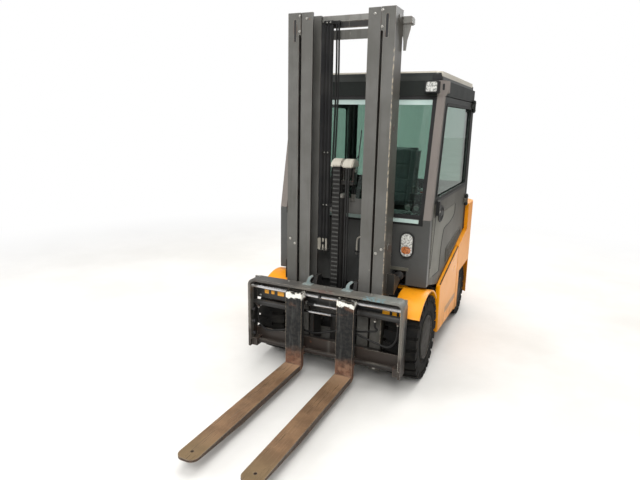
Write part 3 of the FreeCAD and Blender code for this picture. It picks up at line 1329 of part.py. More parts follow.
def steering_wheel():
    """Rim, three spokes and hub on its leaning column."""
    pieces = []
    rim_ring = doc.addObject("Part::Torus", "wheel_ring")
    bind(rim_ring, "Radius1", s.wheel_rim)
    bind(rim_ring, "Radius2", s.wheel_grip)
    pieces.append(rim_ring)
    hub = doc.addObject("Part::Cylinder", "wheel_hub")
    bind(hub, "Radius", s.wheel_hub)
    bind(hub, "Height", s.hub_drop + 10)
    bind(hub, "Placement.Base.z", -s.hub_drop)
    pieces.append(hub)
    for number in range(3):
        spoke = doc.addObject("Part::Box", f"wheel_spoke_{number}")
        bind(spoke, "Length", s.wheel_rim)
        spoke.Width, spoke.Height = 30, 10
        turn = FreeCAD.Rotation(FreeCAD.Vector(0, 0, 1), 90 + 120 * number)
        spoke.Placement = FreeCAD.Placement(turn.multVec(FreeCAD.Vector(0, -15, -5)), turn)
        pieces.append(spoke)
    item = fused("steering_wheel", *pieces)
    lean = FreeCAD.Rotation(FreeCAD.Vector(1, 0, 0), -s.column_lean.number)
    item.Placement = FreeCAD.Placement(FreeCAD.Vector(), lean)
    bind(item, "Placement.Base.y", wheel_y)
    bind(item, "Placement.Base.z", wheel_z)
    return item


def dashboard():
    """Column housing from the console's shelf up to the steering wheel's hub."""
    end_y, end_z = wheel_y - s.hub_drop * lean_sin, wheel_z - s.hub_drop * lean_cos
    reach = s.wheel_hub + 6
    view = (
        (cab_front + s.shelf_deep, s.cab_belt - 90), (end_y - 50, s.cab_belt - 90),
        (end_y + reach * lean_cos, end_z - reach * lean_sin),
        (end_y - reach * lean_cos, end_z + reach * lean_sin),
        (cab_front + s.shelf_deep, s.cab_belt + 10),
    )
    return plate("dashboard", "x", view, (-s.dash_half, s.dash_half))


node("steering_wheel", steering_wheel())
node("dashboard", dashboard())


# Lamps
def oval(name, centre, half_wide, half_tall, span):
    """A lamp with rounded ends, thick along the truck."""
    x, z = centre
    reach = half_tall - half_wide
    return fused(name, bar(f"{name}_upper", "y", (x, z + reach), half_wide, span),
                 bar(f"{name}_lower", "y", (x, z - reach), half_wide, span),
                 block(f"{name}_body", (x - half_wide, x + half_wide), span, (z - reach, z + reach)))


def box_lamp(name, x, y, low, tall):
    """A square lamp and its mirror image."""
    return pair(name, block(f"{name}_left", x, y, (low, low + tall)))


node("head_lamps", pair("head_lamps", oval("head_lamp", (lamp_x, s.lamp_high), s.lamp_wide, s.lamp_tall,
                                           (cab_front - s.lamp_deep, cab_front))))
node("work_lamps", box_lamp("work_lamps", (work_lamp_x - s.work_lamp_half,
                                           work_lamp_x + s.work_lamp_half),
                            (brow - s.work_lamp_deep, brow), s.work_lamp_low, s.work_lamp_tall))
node("tail_lamps", box_lamp("tail_lamps", (cab_half - s.cab_wall + s.tail_lamp_inset,
                                           cab_half - s.tail_lamp_inset),
                            (cab_rear, cab_rear + s.tail_lamp_deep), s.tail_lamp_low, s.tail_lamp_tall))


# Checks and export
doc.recompute()
faults = []
for item in doc.Objects:
    if "Invalid" in item.State or "Error" in item.State:
        faults.append(f"{item.Name}: {item.State}")
for name, item in nodes.items():
    shape = item.Shape
    if not shape.Solids or not shape.isValid():
        faults.append(f"{name}: not a valid solid")
if faults:
    raise SystemExit("\n".join(faults))
os.makedirs("parts", exist_ok=True)
for name, item in nodes.items():
    item.Shape.exportStep(f"parts/{name}.step")
    box = item.Shape.BoundBox
    print(f"{name:20s} solids {len(item.Shape.Solids):3d} volume {item.Shape.Volume / 1e6:9.2f} l "
          f"x {box.XMin:7.0f} {box.XMax:7.0f} y {box.YMin:7.0f} {box.YMax:7.0f} "
          f"z {box.ZMin:6.0f} {box.ZMax:6.0f}")
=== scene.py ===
"""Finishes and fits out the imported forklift, and sets its floor, light and camera."""
import logging
import math
from dataclasses import dataclass, field
from enum import Enum
from functools import cache, reduce
from typing import Iterable, Sequence

import bmesh
import bpy
from mathutils import Matrix, Vector, noise


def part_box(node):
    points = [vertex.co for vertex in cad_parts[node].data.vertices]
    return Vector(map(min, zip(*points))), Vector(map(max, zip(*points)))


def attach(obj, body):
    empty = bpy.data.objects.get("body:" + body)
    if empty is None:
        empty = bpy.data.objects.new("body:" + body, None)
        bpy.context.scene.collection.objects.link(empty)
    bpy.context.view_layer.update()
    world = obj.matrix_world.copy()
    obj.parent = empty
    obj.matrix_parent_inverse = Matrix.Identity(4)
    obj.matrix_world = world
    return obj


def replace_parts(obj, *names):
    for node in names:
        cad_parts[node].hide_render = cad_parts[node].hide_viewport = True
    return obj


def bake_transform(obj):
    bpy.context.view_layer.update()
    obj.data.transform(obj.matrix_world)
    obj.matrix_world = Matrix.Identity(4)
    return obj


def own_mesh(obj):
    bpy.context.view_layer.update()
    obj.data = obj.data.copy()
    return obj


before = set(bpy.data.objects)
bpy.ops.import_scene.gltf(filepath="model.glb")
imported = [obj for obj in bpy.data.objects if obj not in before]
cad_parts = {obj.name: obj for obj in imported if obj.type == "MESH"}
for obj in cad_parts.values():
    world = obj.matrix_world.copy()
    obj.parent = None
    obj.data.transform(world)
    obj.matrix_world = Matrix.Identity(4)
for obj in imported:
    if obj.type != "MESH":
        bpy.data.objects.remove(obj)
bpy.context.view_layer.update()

log = logging.getLogger("forklift")

Colour = tuple[float, float, float]
Point = tuple[float, float, float]
Spot = Point | Vector
Outline = Sequence[tuple[float, float]]
Socket = bpy.types.NodeSocket

ACROSS, ALONG, UP = Vector((1, 0, 0)), Vector((0, 1, 0)), Vector((0, 0, 1))


def shown(*parts: int) -> Colour:
    """Turns a colour as a screen shows it, red, green and blue up to 255, into linear light."""
    return tuple(v / 3294.6 if v <= 10.2 else ((v / 255 + 0.055) / 1.055) ** 2.4 for v in parts)


DUST, SOOT, RUST, STEEL = shown(150, 143, 130), shown(38, 36, 34), shown(112, 70, 48), shown(168, 166, 160)


class Slot(Enum):
    """The record's material slots, one of which each piece is given."""

    MAST = "mast_paint"
    YELLOW = "yellow_paint"
    CAB = "cab_paint"
    ROOF = "roof_paint"
    FRAME = "frame_steel"
    BRIGHT = "bright_steel"
    CHAIN = "chain_steel"
    CAST = "cast"
    TYRE = "tyre"
    CLOTH = "seat_cloth"
    PLASTIC = "black_plastic"
    LAMP = "lamp"


class NodeWriter:
    """Writes the nodes of one material."""

    def __init__(self, name: str) -> None:
        """Starts a material with its shader.

        Args:
            name: The material's name.
        """
        self.material = bpy.data.materials.new(name)
        self.material.use_nodes = True
        self.tree = self.material.node_tree
        self.shader = self.tree.nodes["Principled BSDF"]
        self.place = self.node("ShaderNodeTexCoord").outputs["Object"]
        self.x, self.y, self.z = self.node("ShaderNodeSeparateXYZ", {0: self.place}).outputs
        self.normal = self.node("ShaderNodeNewGeometry").outputs["Normal"]

    def node(self, kind: str, feeds: dict | None = None, **settings) -> bpy.types.Node:
        """Adds a node.

        Args:
            kind: Blender's name of the node.
            feeds: What goes into its sockets, by name or number.
            **settings: The node's own settings.

        Returns:
            The node.
        """
        made = self.tree.nodes.new(kind)
        for key, value in settings.items():
            setattr(made, key, value)
        for socket, value in (feeds or {}).items():
            self.feed(made.inputs[socket], value)
        return made

    def feed(self, socket: Socket, value) -> None:
        """Links another socket to this one, or sets its value.

        Args:
            socket: The socket that takes it.
            value: A socket, a number, a colour or a vector.
        """
        if isinstance(value, Socket):
            self.tree.links.new(value, socket)
        else:
            coloured = isinstance(value, tuple) and socket.type == "RGBA"
            socket.default_value = (*value, 1.0) if coloured else value

    def shade(self, **values) -> None:
        """Feeds the shader's sockets, named in small letters with underscores."""
        for key, value in values.items():
            self.feed(self.shader.inputs[key.replace("_", " ").title().replace("Ior", "IOR")], value)

    def show(self, share: Socket, over: bpy.types.Node) -> None:
        """Shows another shader over the material's own, by a share of 0 to 1."""
        mixed = self.node("ShaderNodeMixShader", {0: share, 1: self.shader.outputs[0], 2: over.outputs[0]})
        self.feed(self.tree.nodes["Material Output"].inputs["Surface"], mixed.outputs[0])

    def maths(self, operation: str, first, second=0.0) -> Socket:
        """Works out one number from one or two, by Blender's name of the operation."""
        return self.node("ShaderNodeMath", {0: first, 1: second}, operation=operation).outputs[0]

    def plus(self, first, second) -> Socket:
        """The sum of two numbers or sockets."""
        return self.maths("ADD", first, second)

    def minus(self, first, second) -> Socket:
        """The difference of two numbers or sockets."""
        return self.maths("SUBTRACT", first, second)

    def most(self, first, second) -> Socket:
        """The larger of two numbers or sockets."""
        return self.maths("MAXIMUM", first, second)

    def times(self, *values) -> Socket:
        """The product of several numbers or sockets."""
        return reduce(lambda first, second: self.maths("MULTIPLY", first, second), values)

    def noise(self, scale: float, detail: float = 2.0, stretch: Point = (1, 1, 1)) -> Socket:
        """Cloudy noise around 0.5, so many cycles a metre, squeezed along each axis."""
        place = self.node("ShaderNodeVectorMath", {0: self.place, 1: stretch}, operation="MULTIPLY").outputs[0]
        return self.node("ShaderNodeTexNoise", {"Vector": place, "Scale": scale, "Detail": detail, "Roughness": 0.6}).outputs[0]

    def band(self, value, low: float, high: float) -> Socket:
        """Goes smoothly from 0 at low to 1 at high, whichever is larger."""
        feeds = {"Value": value, "From Min": low, "From Max": high}
        return self.node("ShaderNodeMapRange", feeds, interpolation_type="SMOOTHSTEP").outputs[0]

    def mix(self, share, first, second) -> Socket:
        """Lays a share of the second colour over the first."""
        return self.node("ShaderNodeMix", {0: share, 6: first, 7: second}, data_type="RGBA").outputs[2]

    def within(self, value, low: float, high: float, soft: float) -> Socket:
        """Is 1 between low and high and fades to 0 over soft on both sides."""
        return self.times(self.band(value, low - soft, low + soft), self.band(value, high + soft, high - soft))

    def facing(self, axis: int) -> Socket:
        """How far the surface faces along an axis, from -1 to 1."""
        return self.node("ShaderNodeSeparateXYZ", {0: self.normal}).outputs[axis]

    def edge(self, radius: float) -> Socket:
        """Is 0 on flat surfaces and rises within the radius of sharp edges."""
        feeds = {0: self.node("ShaderNodeBevel", {"Radius": radius}, samples=4).outputs[0], 1: self.normal}
        return self.minus(1.0, self.node("ShaderNodeVectorMath", feeds, operation="DOT_PRODUCT").outputs["Value"])

    def relief(self, height: Socket, depth: float, strength: float = 0.5) -> None:
        """Raises the surface by a height field, so many metres deep."""
        feeds = {"Height": height, "Distance": depth, "Strength": strength}
        self.feed(self.shader.inputs["Normal"], self.node("ShaderNodeBump", feeds).outputs[0])


@dataclass(frozen=True)
class Zone:
    """A part of a painted piece, on both sides of the truck or on one, that has another coat."""

    low: Point
    high: Point
    coat: Colour
    soft: float = 0.002
    ragged: bool = False
    both: bool = True

    def share(self, w: NodeWriter) -> Socket:
        """How much of the zone's coat shows at a point.

        Args:
            w: The material's writer.

        Returns:
            The share's socket.
        """
        across = w.maths("ABSOLUTE", w.x) if self.both else w.x
        sides = [w.within(v, a, b, self.soft) for v, a, b in zip((across, w.y, w.z), self.low, self.high)]
        if self.ragged:
            sides.append(w.band(w.noise(38, 5), 0.45, 0.56))
        return w.times(*sides)


@dataclass(frozen=True)
class Paint:
    """A coat of paint with patches, streaks, dust, and chips along its edges."""

    name: str
    coat: Colour
    tone: Colour
    bare: Colour = STEEL
    grime: Colour = SOOT
    rough: float = 0.42
    wear: float = 0.5
    streak: float = 0.25
    foot: float = 0.8
    spots: float = 0.3
    dust: float = 0.3
    edge: float = 0.004
    grit: float = 0.1
    zones: tuple[Zone, ...] = ()
    # Where set, side faces behind this y are darkened: outward ones by grease and painted shade, inward ones by painted
    # shade.
    grease_and_shade_from: float | None = None
    shine: float = 0.5

    def make(self) -> bpy.types.Material:
        """Makes the material."""
        w = NodeWriter(self.name)
        w.shade(specular_ior_level=self.shine)
        patches = w.noise(2.3, 5)
        fine = w.noise(46, 5)
        colour = w.mix(w.band(patches, 0.36, 0.64), self.coat, self.tone)
        for zone in self.zones:
            colour = w.mix(zone.share(w), colour, zone.coat)
        if self.grease_and_shade_from is not None:
            # Outward side faces turn olive-brown, partly grease and partly painted shade; inward side faces turn near
            # black, painted shade between the rails.
            facing = w.times(w.facing(0), w.x)
            behind = w.band(w.y, self.grease_and_shade_from, self.grease_and_shade_from + 0.008)
            colour = w.mix(w.times(w.band(facing, 0.1, 0.2), behind, 0.72), colour, shown(58, 54, 46))
            colour = w.mix(w.times(w.band(facing, -0.03, -0.12), behind), colour, shown(12, 12, 12))
        runs = w.band(w.noise(30, 4, (1, 1, 0.07)), 0.5, 0.78)
        colour = w.mix(w.times(runs, self.streak), colour, self.grime)
        low = w.times(w.band(w.z, self.foot, self.foot * 0.1), w.band(w.noise(9, 5), 0.3, 0.7), 0.65)
        colour = w.mix(low, colour, self.grime)
        lying = w.times(w.band(w.facing(2), 0.5, 0.95), w.band(w.noise(6, 6), 0.3, 0.75), self.dust)
        colour = w.mix(lying, colour, DUST)
        ragged = w.plus(w.edge(self.edge), w.times(w.minus(fine, 0.5), 0.55))
        chipped = w.times(w.band(ragged, 0.3 - 0.22 * self.wear, 0.36 - 0.22 * self.wear), min(1.0, self.wear * 2))
        limit = 0.74 - 0.08 * self.spots
        spotted = w.times(w.band(w.noise(27, 3), limit, limit + 0.03), min(1.0, self.spots * 2))
        scored = w.band(w.noise(52, 2, (1, 0.3, 0.12)), 0.755, 0.78)
        worn = w.most(chipped, w.most(spotted, w.times(scored, self.spots)))
        rusty = w.mix(w.band(w.noise(14, 3), 0.45, 0.6), self.bare, RUST)
        w.shade(base_color=w.mix(worn, colour, rusty))
        sheen = w.plus(self.rough - 0.12, w.times(patches, 0.24))
        w.shade(roughness=w.plus(sheen, w.times(w.most(low, lying), 0.35)))
        w.relief(w.minus(w.times(fine, self.grit), worn), 0.0006)
        return w.material


@dataclass(frozen=True)
class BareSteel:
    """Bare or plated steel: rubbed, oiled or rusty."""

    name: str
    coat: Colour
    film: Colour
    rough: float = 0.2
    metal: float = 1.0
    film_share: float = 0.3
    fine: float = 90

    def make(self) -> bpy.types.Material:
        """Makes the material."""
        w = NodeWriter(self.name)
        film = w.times(w.band(w.noise(8, 6), 0.4, 0.72), self.film_share)
        brushed = w.noise(self.fine, 4)
        bright = w.mix(w.band(brushed, 0.3, 0.7), self.coat, tuple(0.8 * v for v in self.coat))
        w.shade(base_color=w.mix(film, bright, self.film))
        w.shade(metallic=w.minus(self.metal, w.times(film, 0.5)))
        rough = w.plus(self.rough, w.times(w.minus(brushed, 0.5), 0.2))
        w.shade(roughness=w.plus(rough, w.times(film, 0.3)))
        w.relief(brushed, 0.0003, 0.35)
        return w.material


@dataclass(frozen=True)
class ForkSteel:
    """Forged fork steel: painted shank with a bared band, rusty heel and rubbed blade; the blade has a painted
    highlight near the heel, and its sides are darker, partly duller steel and partly painted shade.
    """

    name: str = "fork_steel"
    blade_from: float = -0.522

    def shank(self, w: NodeWriter, fine: Socket, rusty: Socket) -> Socket:
        """The shank's colour: black paint, stained under a bared band, and rusty at the heel.

        Args:
            w: The material's writer.
            fine: A fine noise.
            rusty: The rust's colour.

        Returns:
            The colour's socket.
        """
        wander = w.plus(w.z, w.times(w.minus(w.noise(26, 4), 0.5), 0.09))
        dark = w.mix(w.band(fine, 0.4, 0.65), shown(22, 23, 24), shown(42, 41, 39))
        stained = w.times(w.within(wander, 0.52, 0.574, 0.016), w.band(w.noise(9, 2), 0.46, 0.58), 0.7)
        shank = w.mix(stained, dark, rusty)
        shank = w.mix(w.within(wander, 0.572, 0.606, 0.004), shank, shown(232, 231, 222))
        rubbed = w.times(w.band(w.noise(40, 3, (1, 1, 0.1)), 0.52, 0.7), 0.3)
        shank = w.mix(rubbed, shank, shown(88, 88, 86))
        heel = w.mix(w.band(w.noise(22, 4), 0.46, 0.66), rusty, shown(134, 104, 84))
        return w.mix(w.band(wander, 0.235, 0.13), shank, heel)

    def make(self) -> bpy.types.Material:
        """Makes the material."""
        w = NodeWriter(self.name)
        cloud = w.noise(7, 6)
        fine = w.noise(60, 5)
        drag = w.noise(120, 5, (1, 0.03, 1))
        rusty = w.mix(w.band(fine, 0.35, 0.62), shown(82, 60, 48), shown(112, 78, 60))
        shank = self.shank(w, fine, rusty)
        scratched = w.band(drag, 0.5, 0.72)
        blade = w.mix(w.band(cloud, 0.35, 0.65), shown(148, 117, 88), shown(122, 95, 71))
        blade = w.mix(w.times(scratched, 0.35), blade, shown(180, 154, 126))
        # Painted highlight: the blade's top lighter near the heel.
        blade = w.mix(w.times(w.band(w.y, -0.7, -0.53), 0.55), blade, shown(196, 164, 132))
        blade = w.mix(w.times(w.band(w.y, -1.35, -1.62), 0.6), blade, shown(120, 106, 78))
        ahead = w.band(w.y, self.blade_from + 0.006, self.blade_from - 0.006)
        top = w.band(w.facing(2), 0.35, 0.7)
        # The blade's side faces are darker than its top: partly duller forged steel, partly painted shade.
        side = w.mix(w.band(fine, 0.4, 0.6), shown(58, 48, 42), shown(84, 66, 54))
        colour = w.mix(ahead, shank, w.mix(top, side, blade))
        rubbed = w.band(w.plus(w.edge(0.006), w.times(fine, 0.18)), 0.17, 0.27)
        w.shade(base_color=w.mix(w.times(rubbed, 0.8), colour, shown(196, 180, 160)), specular_ior_level=0.3)
        shiny = w.most(rubbed, w.times(ahead, scratched))
        top_face = w.times(ahead, top)
        w.shade(metallic=w.most(w.times(top_face, 0.5), w.times(shiny, 0.75)))
        w.shade(roughness=w.minus(w.band(shiny, 1.6, -0.8), w.times(top_face, 0.16)))
        w.relief(w.plus(w.times(fine, 0.7), w.times(drag, 0.3)), 0.0012, 0.6)
        return w.material


@dataclass(frozen=True)
class Rubber:
    """Tyre rubber, grey with floor dust where it rolls."""

    name: str = "tyre_rubber"
    coat: Colour = shown(15, 15, 15)
    dusty: Colour = shown(58, 55, 49)

    def make(self) -> bpy.types.Material:
        """Makes the material."""
        w = NodeWriter(self.name)
        fine, cloud = w.noise(140, 4), w.noise(11, 6)
        colour = w.mix(w.times(w.band(cloud, 0.35, 0.75), 0.3), self.coat, self.dusty)
        rubbed = w.band(w.plus(w.edge(0.005), w.times(fine, 0.1)), 0.14, 0.26)
        w.shade(base_color=w.mix(w.times(rubbed, 0.5), colour, self.dusty), specular_ior_level=0.12)
        w.shade(roughness=w.plus(0.62, w.times(cloud, 0.35)))
        w.relief(fine, 0.0008, 0.5)
        return w.material


@dataclass(frozen=True)
class Plastic:
    """Moulded plastic or rubber trim with a fine grain."""

    name: str
    coat: Colour = shown(34, 34, 35)
    pale: Colour = shown(60, 59, 57)
    rough: float = 0.5
    grain: float = 420
    depth: float = 0.0004

    def make(self) -> bpy.types.Material:
        """Makes the material."""
        w = NodeWriter(self.name)
        grain, cloud = w.noise(self.grain, 3), w.noise(7, 5)
        rubbed = w.band(w.plus(w.edge(0.003), w.times(cloud, 0.15)), 0.16, 0.3)
        colour = w.mix(w.times(w.band(cloud, 0.4, 0.75), 0.5), self.coat, self.pale)
        w.shade(base_color=w.mix(w.times(rubbed, 0.6), colour, self.pale), specular_ior_level=0.3)
        w.shade(roughness=w.plus(self.rough - 0.1, w.times(cloud, 0.25)))
        w.relief(grain, self.depth, 0.4)
        return w.material


@dataclass(frozen=True)
class Cloth:
    """Woven seat cloth with a fleck and rubbed places."""

    name: str = "seat_cloth"
    coat: Colour = shown(66, 70, 73)
    threads: float = 620

    def make(self) -> bpy.types.Material:
        """Makes the material."""
        w = NodeWriter(self.name)
        lines = (w.plus(w.x, w.y), w.minus(w.plus(w.z, w.y), w.x))
        weave = w.times(*(w.maths("SINE", w.times(line, self.threads * math.pi)) for line in lines))
        fleck, cloud = w.band(w.noise(210, 2), 0.56, 0.66), w.noise(8, 5)
        colour = w.mix(w.times(fleck, 0.55), self.coat, shown(108, 112, 114))
        colour = w.mix(w.times(w.band(cloud, 0.45, 0.8), 0.35), colour, shown(92, 90, 86))
        w.shade(base_color=colour, sheen_weight=0.35, sheen_roughness=0.5)
        w.shade(roughness=w.plus(0.8, w.times(cloud, 0.15)))
        w.relief(w.plus(weave, w.times(cloud, 0.6)), 0.0005, 0.5)
        return w.material


@dataclass(frozen=True)
class Pane:
    """Tinted safety glass with smears and dust."""

    name: str = "cab_glass"
    tint: Colour = shown(166, 188, 178)
    film: float = 0.03

    def make(self) -> bpy.types.Material:
        """Makes the material."""
        w = NodeWriter(self.name)
        smear = w.noise(5, 6, (1, 1, 0.4))
        w.shade(base_color=self.tint, transmission_weight=1.0, ior=1.45)
        w.shade(roughness=w.times(w.band(smear, 0.45, 0.9), self.film))
        w.relief(w.noise(1.3, 1), 0.002, 0.1)
        clear = w.node("ShaderNodeBsdfTransparent", {"Color": shown(236, 242, 239)})
        w.show(w.node("ShaderNodeLightPath").outputs["Is Shadow Ray"], clear)
        return w.material


@dataclass(frozen=True)
class Lens:
    """A lamp's moulded lens, ribbed and mottled behind its face."""

    name: str
    tint: Colour
    depth: float = 0.45
    ribs: float = 260

    def make(self) -> bpy.types.Material:
        """Makes the material."""
        w = NodeWriter(self.name)
        ribbed = [w.maths("SINE", w.times(v, self.ribs * math.tau * k)) for v, k in ((w.x, 1.0), (w.z, 0.6))]
        cloud = w.noise(85, 1)
        deep = tuple(self.depth * v for v in self.tint)
        w.shade(base_color=w.mix(w.band(cloud, 0.36, 0.6), deep, self.tint), coat_weight=0.8, coat_roughness=0.05)
        w.shade(roughness=w.band(cloud, 0.0, 2.2), metallic=0.25)
        w.relief(w.times(*ribbed), 0.0006, 0.5)
        return w.material


@dataclass(frozen=True)
class Concrete:
    """The pale floor, which fades to white far from the truck."""

    name: str = "pale_floor"
    near: float = 2.4
    end: float = 6.5

    def make(self) -> bpy.types.Material:
        """Makes the material."""
        w = NodeWriter(self.name)
        cloud = w.noise(0.9, 6)
        w.shade(base_color=w.mix(w.band(cloud, 0.3, 0.7), shown(226, 224, 220), shown(214, 212, 207)))
        w.shade(roughness=w.plus(0.6, w.times(cloud, 0.3)))
        w.relief(w.noise(40, 4), 0.001, 0.2)
        away = w.node("ShaderNodeVectorMath", {0: w.place}, operation="LENGTH").outputs["Value"]
        path = w.node("ShaderNodeLightPath").outputs
        seen = w.most(path["Is Camera Ray"], path["Is Transmission Ray"])
        glow = w.node("ShaderNodeEmission", {"Color": (1.0, 1.0, 1.0), "Strength": 1.0})
        w.show(w.times(w.band(away, self.near, self.end), seen), glow)
        return w.material


def coats(*numbers: int) -> list[Colour]:
    """Turns runs of red, green and blue into colours."""
    return [shown(*numbers[i:i + 3]) for i in range(0, len(numbers), 3)]


# Dark rows on the counterweight's grille: painted shade in its slots.
GRILLE_ROWS = tuple(Zone((0, 1.6, 0.745 + 0.026 * i), (0.26, 1.7, 0.757 + 0.026 * i), shown(26, 26, 26), 0.001)
                    for i in range(7))
FRAME_ZONES = (
    # The first two zones are painted shade: under the frame's lower bar, and in the recess behind its bars.
    Zone((0, -0.6, 0.1), (0.7, -0.3, 0.29), shown(44, 36, 31), 0.02),
    Zone((0, -0.46, 0.29), (0.7, -0.3, 0.6), shown(40, 40, 39), 0.01),
    Zone((0, -0.52, 0.3), (0.7, -0.47, 0.655), shown(94, 90, 83), 0.008),
    Zone((-0.7, -0.56, 0.62), (-0.2, -0.4, 0.7), shown(72, 70, 67), 0.04, both=False),
    Zone((0.33, -0.56, 0.64), (0.56, -0.4, 0.7), shown(118, 121, 116), 0.03, both=False),
    Zone((0.27, -0.56, 0.63), (0.41, -0.47, 0.7), shown(104, 134, 138), 0.01, True, False),
    Zone((-0.09, -0.53, 0.63), (0.06, -0.47, 0.7), shown(92, 76, 70), 0.02, True, False))
RAIL_ZONES = (
    Zone((0.3455, -0.39, 0.3), (0.352, -0.35, 2.16), shown(160, 150, 132), 0.001, True, False),
    # The next two zones are painted shade: dark below 0.92 m on the rails' outer sides and on their backs.
    Zone((0.351, -0.36, 0), (0.8, 0.4, 0.92), shown(36, 34, 31), 0.0005),
    Zone((0, -0.212, 0), (0.8, 0.4, 0.92), shown(40, 38, 35), 0.006))
DOOR_ZONES = (
    Zone((0.5, -0.1, 1.2), (0.7, 1.3, 2), shown(34, 37, 35), 0.004),
    Zone((0.567, 0.03, 1.1), (0.7, 0.11, 1.24), shown(32, 32, 32), 0.001))
ROOF_ZONES = (Zone((0, 0, 1.9), (0.7, 0.13, 2.058), shown(38, 42, 41)),
              Zone((0, 0, 1.9), (0.7, 1.4, 2.036), shown(48, 51, 48)))
POST_ZONES = (Zone((0.513, -0.2, 1), (0.7, 0.121, 2.1), shown(124, 117, 112)),)
# A darker amber band on the side panels: painted shade in their slit.
PANEL_SLIT = Zone((0.588, 0.5, 0.268), (0.6, 0.915, 0.316), shown(178, 118, 44), 0.0015)
REFLECTOR = Zone((0.38, 1.6, 0.6), (0.47, 1.7, 0.64), shown(150, 24, 20), 0.001)

MAST_GREY = Paint("mast_grey", *coats(98, 97, 94, 84, 83, 79, 150, 146, 136, 56, 52, 44), 0.42, 0.42, 0.4, 1.1, 0.35,
                  0.15, zones=RAIL_ZONES, grease_and_shade_from=-0.362, shine=0.35)
PALE_GREY = Paint("bracket_grey", *coats(176, 172, 160, 160, 155, 142), STEEL, shown(96, 86, 70), 0.45, 0.35, 0.35, 0.3,
                  0.35, 0.15)
CAB_GREY = Paint("console_grey", *coats(78, 79, 78, 70, 70, 68), STEEL, shown(58, 54, 46), 0.4, 0.14, 0.14, 0.9, 0.1,
                 0.25, shine=0.35)
POST_GREY = Paint("cab_frame_grey", *coats(38, 41, 39, 34, 37, 35), STEEL, shown(38, 36, 32), 0.5, 0.12, 0.14, 0.9,
                  0.08, 0.2, zones=POST_ZONES, shine=0.12)
DOOR_GREY = Paint("door_grey", *coats(80, 78, 71, 71, 69, 62), STEEL, shown(60, 56, 48), 0.45, 0.14, 0.16, 0.9, 0.1,
                  0.2, zones=DOOR_ZONES, shine=0.2)
PANEL_GREEN = Paint("panel_grey_green", *coats(98, 97, 87, 88, 87, 78), STEEL, shown(76, 72, 62), 0.42, 0.2, 0.2, 0.95,
                    0.15, 0.2, shine=0.25)
AMBER = Paint("amber_yellow", *coats(242, 156, 6, 234, 146, 6, 120, 100, 80, 120, 84, 30), 0.32, 0.16, 0.1, 0.45, 0.14,
              0.06, zones=(PANEL_SLIT,), shine=0.25)
CAST_AMBER = Paint("cast_amber", *coats(240, 154, 8, 228, 142, 8, 96, 84, 70, 110, 78, 30), 0.38, 0.2, 0.14, 0.5, 0.2,
                   0.1, grit=0.35, zones=(*GRILLE_ROWS, REFLECTOR), shine=0.25)
CREAM = Paint("roof_cream", *coats(206, 200, 186, 194, 187, 172), STEEL, shown(112, 104, 90), 0.4, 0.1, 0.1, 0.1, 0.05,
              0.3, zones=ROOF_ZONES)
FRAME_BLACK = Paint("frame_black", *coats(46, 45, 44, 36, 35, 34, 128, 120, 108, 40, 34, 28), 0.46, 0.42, 0.3, 0.5, 0.4,
                    0.12, shine=0.35)
FRAME_GREY = Paint("frame_grey", *coats(100, 98, 93, 86, 84, 79, 168, 164, 152, 54, 48, 42), 0.42, 0.6, 0.25, 0.3, 0.4,
                   0.12, zones=FRAME_ZONES)
CHASSIS_BLACK = Paint("chassis_black", *coats(42, 42, 42, 36, 35, 34, 88, 80, 70, 52, 46, 38), 0.55, 0.3, 0.2, 0.5, 0.3,
                      0.35)
RIM_DARK = Paint("rim_dark", *coats(52, 50, 46, 43, 41, 38), STEEL, shown(34, 31, 27), 0.6, 0.4, 0.2, 0.9, 0.4, 0.25,
                 shine=0.25)
HEAD_GREY = Paint("head_grey", *coats(126, 125, 121, 112, 111, 106), rough=0.45, wear=0.4, streak=0.3, foot=0.3)
CLAW_STEEL = Paint("claw_steel", *coats(132, 148, 148, 112, 124, 122), rough=0.4, wear=0.4, foot=0.3)
RUSTY_BAR = Paint("rusty_bar", *coats(44, 35, 30, 33, 29, 26), rough=0.5, foot=0.3, shine=0.3)
CAST_IRON = Paint("cast_iron", *coats(50, 49, 48, 42, 41, 40, 84, 70, 58), rough=0.65, wear=0.35, spots=0.4, grit=0.6)
PATCH = Paint("yellow_patch", *coats(240, 168, 34, 226, 152, 32, 120, 90, 40), rough=0.35, wear=0.3, streak=0.2,
              foot=0.1, spots=0.5, dust=0.1)
CHAIN_PLATE = BareSteel("chain_plate", *coats(84, 84, 82, 26, 25, 24), 0.4, 0.7, 0.8)
CHROME = BareSteel("chrome_rod", *coats(214, 214, 216, 120, 112, 100), 0.12, film_share=0.25)
OILY = BareSteel("oily_chain", *coats(50, 49, 48, 18, 17, 16), 0.36, 0.85, 0.7, 160)
ZINC = BareSteel("zinc_fitting", *coats(190, 188, 182, 120, 112, 98), 0.3, film_share=0.4)
BLACK = Plastic("black_trim")
HOSE = Plastic("hose_rubber", *coats(20, 20, 20, 44, 42, 39), 0.45, 260)
GASKET = Plastic("window_seal", *coats(22, 22, 22, 44, 43, 41), 0.6)
GREY_TRIM = Plastic("grey_trim", *coats(96, 96, 93, 124, 122, 116), 0.45)
MAT = Plastic("floor_mat", *coats(40, 40, 40, 88, 84, 76), 0.7, 180, 0.0008)
# Pale strips painted as reflections on the windscreen.
GLARE_BAND = Plastic("painted_glass_glare", *coats(176, 196, 190, 196, 206, 200), 0.3)
SCREEN = Plastic("screen_glass", *coats(16, 20, 24, 30, 34, 36), 0.14, 900, 0.00004)
CLEAR = Lens("clear_lens", shown(226, 226, 220), 0.36)
ORANGE = Lens("amber_lens", shown(206, 120, 62))
RED = Lens("red_lens", shown(190, 30, 24))


@cache
def material(finish) -> bpy.types.Material:
    """The Blender material of a finish, made once."""
    return finish.make()


def quads(rings: int, sides: int) -> list[tuple[int, ...]]:
    """The faces that join rings of corners."""
    pairs = [(r * sides + i, r * sides + (i + 1) % sides) for r in range(rings - 1) for i in range(sides)]
    return [(a, b, b + sides, a + sides) for a, b in pairs]


